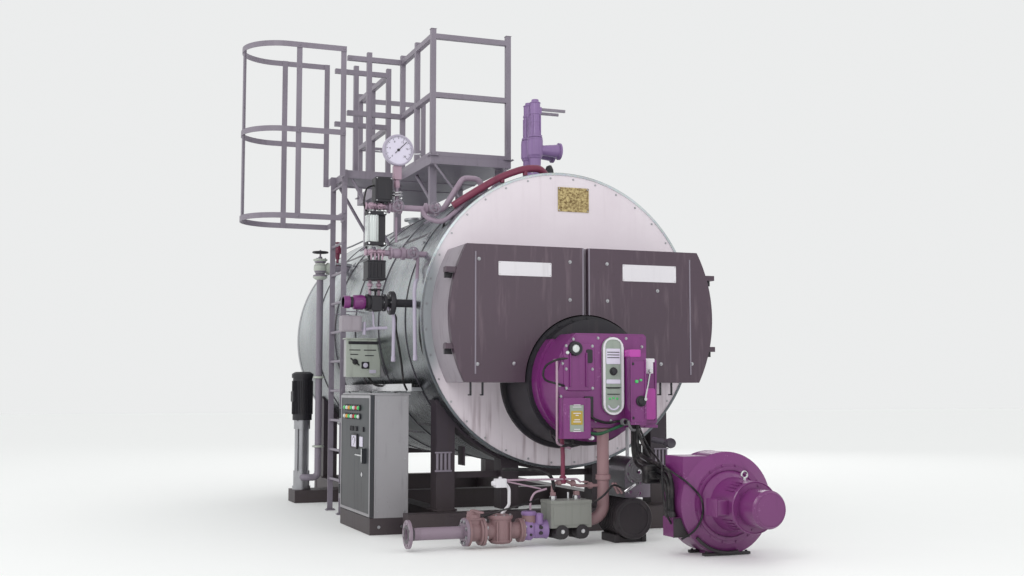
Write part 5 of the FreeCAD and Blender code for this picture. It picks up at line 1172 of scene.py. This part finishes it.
fixed("gauge_siphon", "gas_salmon",
    tile("y", -0.03, 0.034, -0.235, -0.118, 0.01, -0.028, 0.028, 0.004, base=(GX, GAUGE_Z, LY)),
    turned("z", GX, LY, [(-0.3, 0.018), (-0.29, 0.026), (-0.25, 0.026), (-0.235, 0.018)], 6, base=GAUGE_Z),
    paint=pink_paint)
coil = np.linspace(0, 2.2 * TURN, 60)
fixed("gauge_siphon_coil", "bare_metal",
    tube(lay(GX + 0.04 * np.cos(coil), LY + 0.04 * np.sin(coil), GAUGE_Z - 0.38 + 0.0035 * coil, "z"), 0.007, 8),
    rod((GX - 0.11, LY, GAUGE_Z - 0.01), (GX - 0.18, LY, GAUGE_Z - 0.01), 0.004, 6),
    rod((0.11, 0, -0.02), (0.2, 0, -0.01), 0.004, 6, base=(GX, LY, GAUGE_Z)), paint=chrome)


def gauge_cock(x, z):
    """A small cock on a level line: a hexagonal body, a bonnet towards -Y and a cross handle."""
    return joined(prism(circle(x, z, 0.03, 6), "y", LY - 0.034, LY + 0.034, 0.004),
                  turned("y", x, z, [(LY - 0.03, 0.018), (LY - 0.06, 0.014), (LY - 0.064, 0.01)], 16),
                  rod((x - 0.03, LY - 0.066, z), (x + 0.03, LY - 0.066, z), 0.005, 8),
                  turned("x", LY, z, [(x - 0.044, 0.026), (x - 0.036, 0.03), (x - 0.03, 0.026)], 16),
                  turned("x", LY, z, [(x + 0.03, 0.026), (x + 0.036, 0.03), (x + 0.044, 0.026)], 16))


cock_places = [(glass.x0 + 0.036, steam_z), (glass.x1 - 0.036, steam_z), (glass.x0 + 0.036, water_z),
               (glass.x1 - 0.036, water_z)]
fixed("level_cocks", "gas_salmon", *[gauge_cock(x, z) for x, z in cock_places], paint=pink_paint)
wheel_places = ((-1.345, steam_z), (-1.22, water_z), (-1.04, steam_z))
fixed("level_valves", "gas_salmon",
    *[turned("x", LY, z, [(-0.06, 0.03), (-0.055, 0.05), (-0.04, 0.05), (-0.036, 0.03), (-0.02, 0.04), (0.02, 0.04),
        (0.036, 0.03), (0.04, 0.05), (0.055, 0.05), (0.06, 0.03)], 32, base=x)
        for x, z in ((-1.345, steam_z), (-1.22, water_z), (-1.04, steam_z), (-1.33, water_z))],
    *[turned("y", x, z, [(LY, 0.02), (LY - 0.07, 0.018), (LY - 0.075, 0.026), (LY - 0.085, 0.026)], 20)
        for x, z in wheel_places], paint=pipe_paint)
fixed("level_hand_wheels", "bare_metal",
    *[hand_wheel("y", x, z, LY - 0.12, 0.042, 0.005) for x, z in wheel_places],
    *[rod((x, LY - 0.08, z), (x, LY - 0.125, z), 0.007, 8) for x, z in wheel_places], paint=rail_paint)
tube_x = (glass.x0 + 0.03, glass.x1 - 0.072)
fixed("gauge_glass_tubes", "gauge_glass",
    *[turned("z", x, glass.y0 - 0.006, [(glass.z0 + 0.045, 0.016), (glass.z0 + 0.05, 0.018),
        (glass.z1 - 0.045, 0.018), (glass.z1 - 0.04, 0.016)], 20) for x in (*tube_x, glass.x0 + 0.05)])
fixed("gauge_glass_frame", "black_iron",
    tile("y", glass.x1 - 0.05, glass.x1 + 0.004, glass.z0 + 0.03, glass.z1 - 0.02, 0.004, glass.y0 - 0.004,
        glass.y1 + 0.004),
    *[block(glass.x0 - 0.004, glass.x1 + 0.006, glass.y0 - 0.03, glass.y1 + 0.006, z, z + 0.03, 0.004)
        for z in (glass.z0 + 0.032, glass.z1 - 0.055)])
fixed("gauge_glass_guards", "bare_metal",
    *[rod((x, glass.y0 - 0.026, glass.z0 + 0.05), (x, glass.y0 - 0.026, glass.z1 - 0.04), 0.004, 6)
        for x in (glass.x0 + 0.008, glass.x0 + 0.07)],
    copies(bolt("y", 0.006, -1), [(x, glass.y0 - 0.03, z) for x in (glass.x0 + 0.01, glass.x1 - 0.01)
        for z in (glass.z0 + 0.047, glass.z1 - 0.04)]), paint=chrome)
fixed("pot_lids", "black_iron",
    block(pots.x0 - 0.004, pots.x1 + 0.004, pots.y0 - 0.004, pots.y1 + 0.004, 2.13, 2.146, 0.006),
    block(pots.x0 - 0.006, pots.x1 + 0.006, pots.y0 - 0.006, pots.y1 + 0.006, pots.z0 - 0.003, pots.z0 + 0.014,
        0.006),
    *[tile("y", pots.x0 + x, pots.x0 + x + 0.008, pots.z0 + 0.02, 2.125, 0.003, pots.y0 - 0.01, pots.y0)
        for x in (0.02, 0.05, 0.08, 0.11)])
fixed("pot_pipes", "gas_salmon",
    *[rod((pots.x0 + x, LY - 0.06, 2.14), (pots.x0 + x, LY - 0.06, 2.2), 0.007, 8)
        for x in (0.03, 0.06, 0.09, 0.12)],
    *[rod((pots.x0 + x, LY, pots.z0), (pots.x0 + x, LY, 1.87), 0.012, 10) for x in (0.036, 0.108)],
    *[turned("z", pots.x0 + x, LY, [(1.94, 0.012), (1.945, 0.022), (1.965, 0.022), (1.97, 0.012)], 16)
        for x in (0.036, 0.108)], paint=pink_paint)
switch = at["switch_box"]
fixed("switch_box_lid", "black_iron",
    tile("y", switch.x0 - 0.003, switch.x1 + 0.003, 2.611, switch.z1 + 0.003, 0.01, switch.y0 - 0.008,
        switch.y0 + 0.01, 0.003),
    tile("y", switch.x0 + 0.012, switch.x1 - 0.012, 2.63, switch.z1 - 0.016, 0.008, switch.y0 - 0.012,
        switch.y0 - 0.004, 0.003))
fixed("switch_box_screws", "bare_metal",
    copies(bolt("y", 0.005, -1), [(x, switch.y0 - 0.009, z) for x in (switch.x0 + 0.008, switch.x1 - 0.008)
        for z in (2.622, switch.z1 - 0.008)]))
fixed("switch_box_lead", "cable_black",
    pipe([(switch.x0 + 0.01, LY, 2.75), (switch.x0 - 0.06, LY, 2.73), (switch.x0 - 0.085, LY, 2.6),
        (switch.x0 - 0.05, LY + 0.02, 2.53), (glass.x0 + 0.02, glass.y1 + 0.02, 2.5),
        (glass.x0 + 0.02, glass.y1 + 0.05, 2.25), (pots.x0 + 0.05, pots.y1 - 0.02, 2.14)], 0.06, 0.007),
    pipe([(-0.8, LY, 2.62), (-0.93, LY - 0.03, 2.52), (-0.95, LY - 0.02, 2.4), (-1.02, LY, 2.3)], 0.08, 0.009))
blow = at["blowdown_valve"]
BZ, wheel_x = blow.z, -1.495
fixed("blowdown_actuator", "burner_magenta",
    turned("x", LY, BZ, [(0, 0.04), (0.004, 0.05), (0.05, 0.05), (0.055, 0.042), (0.075, 0.042), (0.08, 0.056),
        (0.15, 0.06), (0.172, 0.05)], 36, base=blow.x0))
fixed("blowdown_body", "black_iron",
    turned("x", LY, BZ, [(-1.575, 0.05), (-1.57, 0.066), (-1.55, 0.066), (-1.545, 0.057), (-1.44, 0.057),
        (-1.436, 0.068), (-1.416, 0.068), (-1.41, 0.05)], 36),
    tile("y", -1.54, -1.45, BZ - 0.07, BZ + 0.05, 0.02, LY - 0.06, LY + 0.06, 0.006),
    turned("x", LY, BZ, [(-1.385, 0.03), (-1.385, 0.09), (-1.378, 0.094), (-1.35, 0.094), (-1.345, 0.09),
        (-1.345, 0.03)], 48, True), hand_wheel("z", wheel_x, LY, BZ + 0.1, 0.05, 0.006),
    rod((wheel_x, LY, BZ + 0.04), (wheel_x, LY, BZ + 0.104), 0.009))
fixed("blowdown_bolts", "bare_metal",
    bolted("x", 0.007, -1, LY, BZ, -1.385, 0.075, 8), bolted("x", 0.006, -1, LY, BZ, -1.436, 0.06, 6))
fixed("sample_box", "box_grey",
    tile("y", -1.774, -1.614, 1.583, 1.706, 0.01, LY - 0.05, LY + 0.05, 0.004),
    tile("y", -1.764, -1.624, 1.593, 1.696, 0.008, LY - 0.056, LY - 0.045, 0.002))
fixed("sample_pipes", "gauge_case",
    pipe([(-1.614, LY, 1.6), (-1.586, LY, 1.6), (-1.52, LY, 1.612), (-1.399, LY, 1.618)], 0.02, 0.012),
    pipe([(-1.586, LY - 0.01, 1.56), (-1.586, LY - 0.01, 1.66)], 0.02, 0.013),
    pipe([(-1.52, LY, BZ - 0.05), (-1.51, LY, 1.7), (-1.51, LY, 1.64), (-1.5, LY, 1.615)], 0.02, 0.008),
    pipe([(-1.46, LY, BZ - 0.05), (-1.401, LY, BZ - 0.03), (-1.35, LY, BZ - 0.08), (-1.343, LY, BZ - 0.14),
        (-1.346, LY, 1.364)], 0.05, 0.015),
    pipe([(-1.2, 0.1, 1.99), (-1.225, 0.06, 1.97), (-1.235, 0.05, 1.9), (-1.225, 0.05, 1.368)], 0.05, 0.015),
    turned("z", -1.346, LY, [(1.35, 0.012), (1.355, 0.018), (1.39, 0.018), (1.395, 0.014)], 16),
    turned("z", -1.225, 0.05, [(1.355, 0.012), (1.36, 0.018), (1.395, 0.018), (1.4, 0.014)], 16))
fixed("conduit_black", "cable_black",
    pipe([(-1.38, LY, BZ - 0.06), (-1.323, LY, 1.715), (-1.329, LY, 1.618), (-1.27, LY + 0.04, 1.365),
        (-1.244, LY + 0.06, 1.183), (-1.19, LY + 0.15, 1.13)], 0.1, 0.009),
    pipe([(-1.15, 0.03, 1.97), (-1.2, 0.03, 1.75), (-1.195, 0.04, 1.5), (-1.12, 0.05, 1.3), (-1.02, 0.06, 1.15)],
        0.2, 0.006))
fixed("water_line_drain", "gas_salmon",
    pipe([(-1.15, LY, water_z), (-1.16, LY - 0.03, 2.1), (-1.19, LY - 0.12, 2.04), (-1.2, 0.1, 1.99)], 0.05, 0.014),
    paint=pipe_paint)
rim_y = 0.06
fixed("rim_pipe", "burner_magenta",
    pipe([(-0.9, 0.06, 2.6), (-0.675, 0, 2.75), (-0.5, 0, 2.855), (-0.3, 0, 2.93), (-0.16, 0.02, 2.94),
        (-0.1, 0.04, 2.89)], 0.12, 0.03, base=(0, rim_y, 0)),
    *[band("z", x, rim_y, z - 0.05, z, 0.012, 0.02, 14) for x, z in ((-0.5, 2.85), (-0.3, 2.92))], paint=dark_red)
fixed("rim_drain", "gas_salmon",
    pipe([(-1.12, LY, steam_z), (-1.1, LY - 0.06, 2.5), (-0.98, 0.15, 2.46), (-0.86, 0.14, 2.56),
        (-0.74, 0.14, 2.69), (-0.6, 0.15, 2.77)], 0.08, 0.02),
    pipe([(-1.33, LY, 2.5), (-1.33, LY, 2.3)], 0.01, 0.01), paint=pipe_paint)

# ---------------------------------------------------------------- instrument box and feed set

panel_box, tray = at["instrument_box"], at["cable_tray"]
px0, px1, pz0, pz1, py = panel_box.x0, panel_box.x0 + 0.3, panel_box.z0, panel_box.z1, panel_box.y0
fixed("instrument_face", "box_grey",
    tile("y", px0 - 0.008, px1, pz0 - 0.004, pz1 + 0.01, 0.008, py - 0.008, py + 0.002, 0.002),
    block(px0 - 0.012, px1 + 0.004, py - 0.02, panel_box.y1 + 0.006, pz1 + 0.006, pz1 + 0.014, 0.003),
    paint=pale_green)
fixed("instrument_strips", "black_iron",
    tile("y", px0 + 0.012, px1 - 0.02, pz1 - 0.04, pz1 - 0.014, 0.004, py - 0.011, py - 0.006, 0.001),
    *[tile("y", px0 + a, px0 + b, pz0 + z, pz0 + z + 0.008, 0.002, py - 0.011, py - 0.006, 0.001)
        for a, b, z in ((0.02, 0.12, 0.228), (0.15, 0.26, 0.228), (0.03, 0.1, 0.19), (0.16, 0.24, 0.18))],
    tile("y", 0.13, 0.2, 0.07, 0.13, 0.006, -0.014, -0.006, 0.002, base=(px0, pz0, py)),
    turned("y", px0 + 0.074, pz0 + 0.13, [(-0.006, 0.026), (-0.014, 0.024), (-0.03, 0.02), (-0.032, 0.014)], 24,
        base=py), rod((0.03, -0.016, 0.16), (0.11, -0.016, 0.1), 0.006, 8, base=(px0, py, pz0)))
fixed("instrument_dials", "gauge_case",
    turned("y", px0 + 0.165, pz0 + 0.1, [(py - 0.013, 0.022), (py - 0.017, 0.02), (py - 0.018, 0.004)], 28),
    tile("y", 0.2, 0.26, 0.03, 0.06, 0.004, -0.011, -0.006, 0.001, base=(px0, pz0, py)), paint=dial_white)
fixed("tray_leads", "cable_black",
    *[pipe([(tray.x0 + x, 0.42, 0.012), (tray.x0 + x + 0.006, 1.2, 0.014), (tray.x0 + x, 2.0, 0.012),
        (tray.x0 + x + 0.004, 2.84, 0.012)], 0.2, 0.009, 8, base=(0, 0, tray.z1)) for x in (0.018, 0.04, 0.062)],
    pipe([(tray.x0 + 0.02, 1.3, tray.z1 + 0.012), (tray.x0 - 0.06, 1.38, tray.z1 + 0.02),
        (panel_box.x0 + 0.2, 1.41, pz0 + 0.01)], 0.05, 0.01))
fixed("tray_lips", "bare_metal",
    block(tray.x0 - 0.003, tray.x0 + 0.001, tray.y0, tray.y1, tray.z0, tray.z1 + 0.03, 0.001),
    *[block(tray.x0 - 0.004, tray.x1 - 0.01, y, y + 0.02, tray.z0 - 0.008, tray.z0, 0.002)
        for y in np.arange(tray.y0 + 0.1, tray.y1, 0.5)], paint=chrome)

feed, head, feed_motor = at["feed_pipe"], at["feed_pump"], at["feed_pump_motor"]
fx, fy = at["feed_valve_wheel"].x, at["feed_valve_wheel"].y
fixed("feed_motor_fins", "black_iron",
    spun(block(0.094, 0.107, -0.0022, 0.0022, feed_motor.z0 + 0.06, feed_motor.z1 - 0.09, 0.001,
        base=(head.x, head.y, 0)), "z", head.x, head.y, np.arange(0, 360, 10)),
    tile("y", -0.11, -0.08, -0.06, 0.05, 0.01, -0.06, 0.06, 0.006, base=(head.x, feed_motor.z, head.y)))
cowl = [turned("z", head.x, head.y, [(-0.002, r), (0.001, r), (0.001, r + 0.005), (-0.002, r + 0.005)], 40, True,
    base=feed_motor.z1) for r in (0.02, 0.036, 0.052, 0.066)]
fixed("feed_motor_cowl", "black_iron", *cowl)
fixed("feed_pump_rods", "bare_metal",
    *[rod((head.x + 0.078 * np.cos(a), head.y + 0.078 * np.sin(a), head.z0 + 0.15),
        (head.x + 0.078 * np.cos(a), head.y + 0.078 * np.sin(a), head.z1 - 0.05), 0.007, 8)
        for a in np.radians((45, 135, 225, 315))],
    *[band("z", head.x, head.y, z, z + 0.006, 0.066, 0.0705, 40)
        for z in np.arange(head.z0 + 0.22, head.z1 - 0.12, 0.035)],
    bolted("z", 0.009, 1, head.x, head.y, head.z1 - 0.008, 0.086, 4, 45))
valve_z = 2.38
fixed("feed_valve_rims", "bare_metal",
    *[turned("z", fx, fy, [(0, 0.036), (0.004, 0.05), (0.02, 0.07), (0.024, 0.074), (0.032, 0.074), (0.036, 0.06)],
        40, base=z) for z in (valve_z - 0.12, valve_z + 0.06)],
    turned("z", fx, fy, [(-0.05, 0.05), (-0.02, 0.066), (0.02, 0.066), (0.05, 0.05)], 40, base=valve_z),
    turned("x", fy, valve_z, [(0.05, 0.036), (0.07, 0.06), (0.09, 0.062), (0.094, 0.036)], 32, base=fx),
    *[turned("z", feed.x0 + 0.172, fy, [(z, 0.036), (z + 0.004, 0.06), (z + 0.02, 0.06), (z + 0.024, 0.036)], 32)
        for z in (0.55, 1.25)], paint=pale_green)
fixed("feed_valve_bolts", "bare_metal",
    bolted("z", 0.008, 1, fx, fy, valve_z - 0.085, 0.06, 4, 45),
    bolted("z", 0.008, 1, fx, fy, valve_z + 0.096, 0.06, 4, 45))
fixed("vent_valve", "burner_magenta",
    turned("z", fx + 0.18, fy, [(0.1, 0.02), (0.15, 0.024), (0.16, 0.04), (0.2, 0.044), (0.24, 0.03),
        (0.26, 0.012)], 24, base=valve_z),
    pipe([(0.06, 0, 0), (0.18, 0, 0), (0.18, 0, 0.12)], 0.04, 0.014, base=(fx, fy, valve_z)),
    hand_wheel("z", fx + 0.18, fy, valve_z + 0.27, 0.04, 0.005), paint=dark_red)
fixed("vent_rod", "bare_metal",
    pipe([(fx + 0.2, fy, valve_z + 0.19), (-0.95, fy, 2.62), (-0.83, fy, 2.68)], 0.03, 0.008),
    pipe([(fx + 0.16, 0, 0.05), (-0.98, -0.02, 0.045), (-0.9, -0.02, 0.02), (-0.89, -0.02, -0.03)], 0.04, 0.016,
        base=(0, fy, valve_z)))

# ---------------------------------------------------------------- skid, saddles and rear

rail, saddles = at["skid_rails"], at["saddles"]
bolt_x = (rail.x0 + 0.03, rail.x0 + 0.12, rail.x1 - 0.03, rail.x1 - 0.12)
pads = []
for y in (saddles.y0, saddles.y1):
    inner = 0.06 if y == saddles.y0 else -0.06
    pads += [(x, y + inner, rail.z1 + 0.012) for x in bolt_x]
fixed("saddle_pads", "skid_paint",
    *[block(-0.095, 0.095, -0.01, 0.18, -0.001, 0.012, 0.003, base=(x, y, rail.z1))
        for x in (rail.x0 + 0.075, rail.x1 - 0.075) for y in (saddles.y0, saddles.y1 - 0.17)],
    *[block(side * 0.78 - 0.006, side * 0.78 + 0.006, y, y + 0.15, rail.z1 + 0.35, rail.z1 + 0.5, 0.002)
        for side in (-1, 1) for y in (saddles.y0 + 0.01, saddles.y1 - 0.16)])
fixed("saddle_bolts", "bare_metal", copies(bolt("z", 0.014), pads))
beam_ends = [block(x - 0.066, x + 0.066, y - 0.002, y + 0.004, 0.024, rail.z1 - 0.024, 0.002)
             for x in (rail.x0 + 0.075, rail.x1 - 0.075) for y in (rail.y0, rail.y1 - 0.002)]
fixed("skid_end_plates", "skid_paint",
    *beam_ends,
    *[block(side * (rail.x1 + 0.001) - 0.002, side * (rail.x1 + 0.001) + 0.002, rail.y0 + 0.01, rail.y1 - 0.01, z,
        z + 0.014, 0.0008) for side in (-1, 1) for z in (0.002, rail.z1 - 0.016)],
    *[block(side * (rail.x1 + 0.001) - 0.003, side * (rail.x1 + 0.001) + 0.003, y, y + 0.012, 0.014,
        rail.z1 - 0.014, 0.001) for side in (-1, 1) for y in np.arange(rail.y0 + 0.35, rail.y1, 0.62)])
saddle_x = 0.96
for side, name in ((-1, "left"), (1, "right")):
    strips = [tile("y", side * saddle_x + x - 0.009, side * saddle_x + x + 0.009, 0.5, 0.63, 0.004,
        saddles.y0 - 0.008, saddles.y0 + 0.002, 0.002) for x in (-0.05, -0.017, 0.017, 0.05)]
    fixed(f"saddle_strips_{name}", "skid_paint",
        *strips,
        tile("y", side * saddle_x - 0.07, side * saddle_x + 0.07, 0.485, 0.5, 0.004, saddles.y0 - 0.008,
            saddles.y0 + 0.002, 0.002),
        tile("y", side * saddle_x - 0.07, side * saddle_x + 0.07, 0.63, 0.642, 0.004, saddles.y0 - 0.008,
            saddles.y0 + 0.002, 0.002), paint=rail_paint)

rear, cover_plate, flue = at["rear_smokebox"], at["rear_cover"], at["flue_outlet"]
RY = rear.y1
fixed("rear_cover_bolts", "bare_metal",
    bolted("y", 0.013, 1, 0, cover_plate.z, cover_plate.y0 + 0.03, 0.36, 16),
    turned("y", 0, cover_plate.z, [(0, 0.06), (0.01, 0.056), (0.012, 0.05)], 32, base=cover_plate.y1))
handle = [pipe([(0, -0.002, 0.12), (0, 0.05, 0.12), (0, 0.05, -0.12), (0, -0.002, -0.12)], 0.02, 0.01,
    base=(x, cover_plate.y1, cover_plate.z)) for x in (-0.2, 0.2)]
fixed("rear_cover_handles", "black_iron", *handle)
box_cover_x = (-0.53, 0.53)
fixed("rear_box_covers", "box_grey",
    *[tile("y", -0.15, 0.15, 0.12, 0.62, 0.02, -0.002, 0.016, 0.004, base=(x, rear.z0, RY)) for x in box_cover_x],
    frame_bar(rear.x0 + 0.06, rear.x1 - 0.06, rear.z0 + 0.01, rear.z1 - 0.14, 0.03, "y", RY - 0.002, RY + 0.005,
        0.01))
fixed("rear_box_bolts", "bare_metal",
    copies(bolt("y", 0.01), [(x + a, RY + 0.016, z) for x in box_cover_x for a in (-0.13, 0.13)
        for z in np.linspace(rear.z0 + 0.14, rear.z0 + 0.6, 5)]),
    *[pipe([(0, 0.012, 0.08), (0, 0.05, 0.08), (0, 0.05, -0.06), (0, 0.012, -0.06)], 0.015, 0.008,
        base=(x, RY, rear.z)) for x in box_cover_x],
    bolted("y", 0.009, 1, flue.x, flue.z, flue.y1 - 0.009, 0.285, 16))
fixed("rear_drain", "black_iron",
    pipe([(0.0, 4.6, 0.53), (0.0, 4.6, 0.36), (0.0, 4.78, 0.36), (0.0, 4.86, 0.36)], 0.06, 0.03),
    turned("y", 0, 0.36, [(4.84, 0.04), (4.842, 0.075), (4.858, 0.075), (4.86, 0.04)], 32),
    turned("z", 0, 4.6, [(0.42, 0.04), (0.43, 0.06), (0.45, 0.06), (0.46, 0.04)], 28))


# ---------------------------------------------------------------- stage, light and camera

def soft_light(name, place, target, size, power):
    """A square area light at a place, facing a target: its -Z turned to the line between them."""
    light = bpy.data.lights.new(name, "AREA")
    light.size, light.energy = size, power
    lamp = bpy.data.objects.new(name, light)
    lamp.location = place
    lamp.rotation_euler = (Vector(target) - Vector(place)).to_track_quat("-Z", "Y").to_euler()
    bpy.context.scene.collection.objects.link(lamp)


FLOOR_HALF, FLOOR_Z, FLOOR_GLOW, WORLD_STRENGTH = 60, -0.002, 0.09, 0.88
CAMERA_LENS, CAMERA_TILT, CAMERA_TURN = 44.3, 94.72, -20.72
floor_coat = coat("studio_floor", srgb(240, 241, 240), 0.7, 0.01, 0.0, grime=0, grain=0.01, depth=0.0002)
glow = next(node for node in floor_coat.node_tree.nodes if node.type == "BSDF_PRINCIPLED")
glow.inputs["Emission Color"].default_value = (1, 1, 1, 1)
glow.inputs["Emission Strength"].default_value = FLOOR_GLOW
floor_mesh = bpy.data.meshes.new("studio_floor")
floor_mesh.from_pydata([(x * FLOOR_HALF, y * FLOOR_HALF, FLOOR_Z) for x, y in ((-1, -1), (1, -1), (1, 1), (-1, 1))], [],
                       [(0, 1, 2, 3)])
floor_mesh.materials.append(floor_coat)
floor = bpy.data.objects.new("studio_floor", floor_mesh)
bpy.context.scene.collection.objects.link(floor)

world = bpy.data.worlds.new("studio")
bpy.context.scene.world = world
world.use_nodes = True
world.node_tree.nodes["Background"].inputs["Color"].default_value = (0.95, 0.96, 0.96, 1)
world.node_tree.nodes["Background"].inputs["Strength"].default_value = WORLD_STRENGTH
middle = (cad_box[0] + cad_box[1]) / 2
for name, place, size, power in (("key", (-7.5, -9.0, 8.5), 5.0, 330), ("front", (2.5, -11.0, 4.0), 4.0, 60),
                                 ("side", (-10.0, 3.0, 5.0), 5.0, 60), ("back", (6.0, 11.0, 7.0), 6.0, 160)):
    soft_light(name, place, middle, size, power)

camera = bpy.data.objects.new("camera", bpy.data.cameras.new("camera"))
camera.data.lens = CAMERA_LENS
camera.data.clip_end = 200
camera.location = (-3.996, -9.408, 1.112)
camera.rotation_euler = (radians(CAMERA_TILT), 0, radians(CAMERA_TURN))
bpy.context.scene.collection.objects.link(camera)
bpy.context.scene.camera = camera
bpy.context.scene.view_settings.view_transform = "Standard"
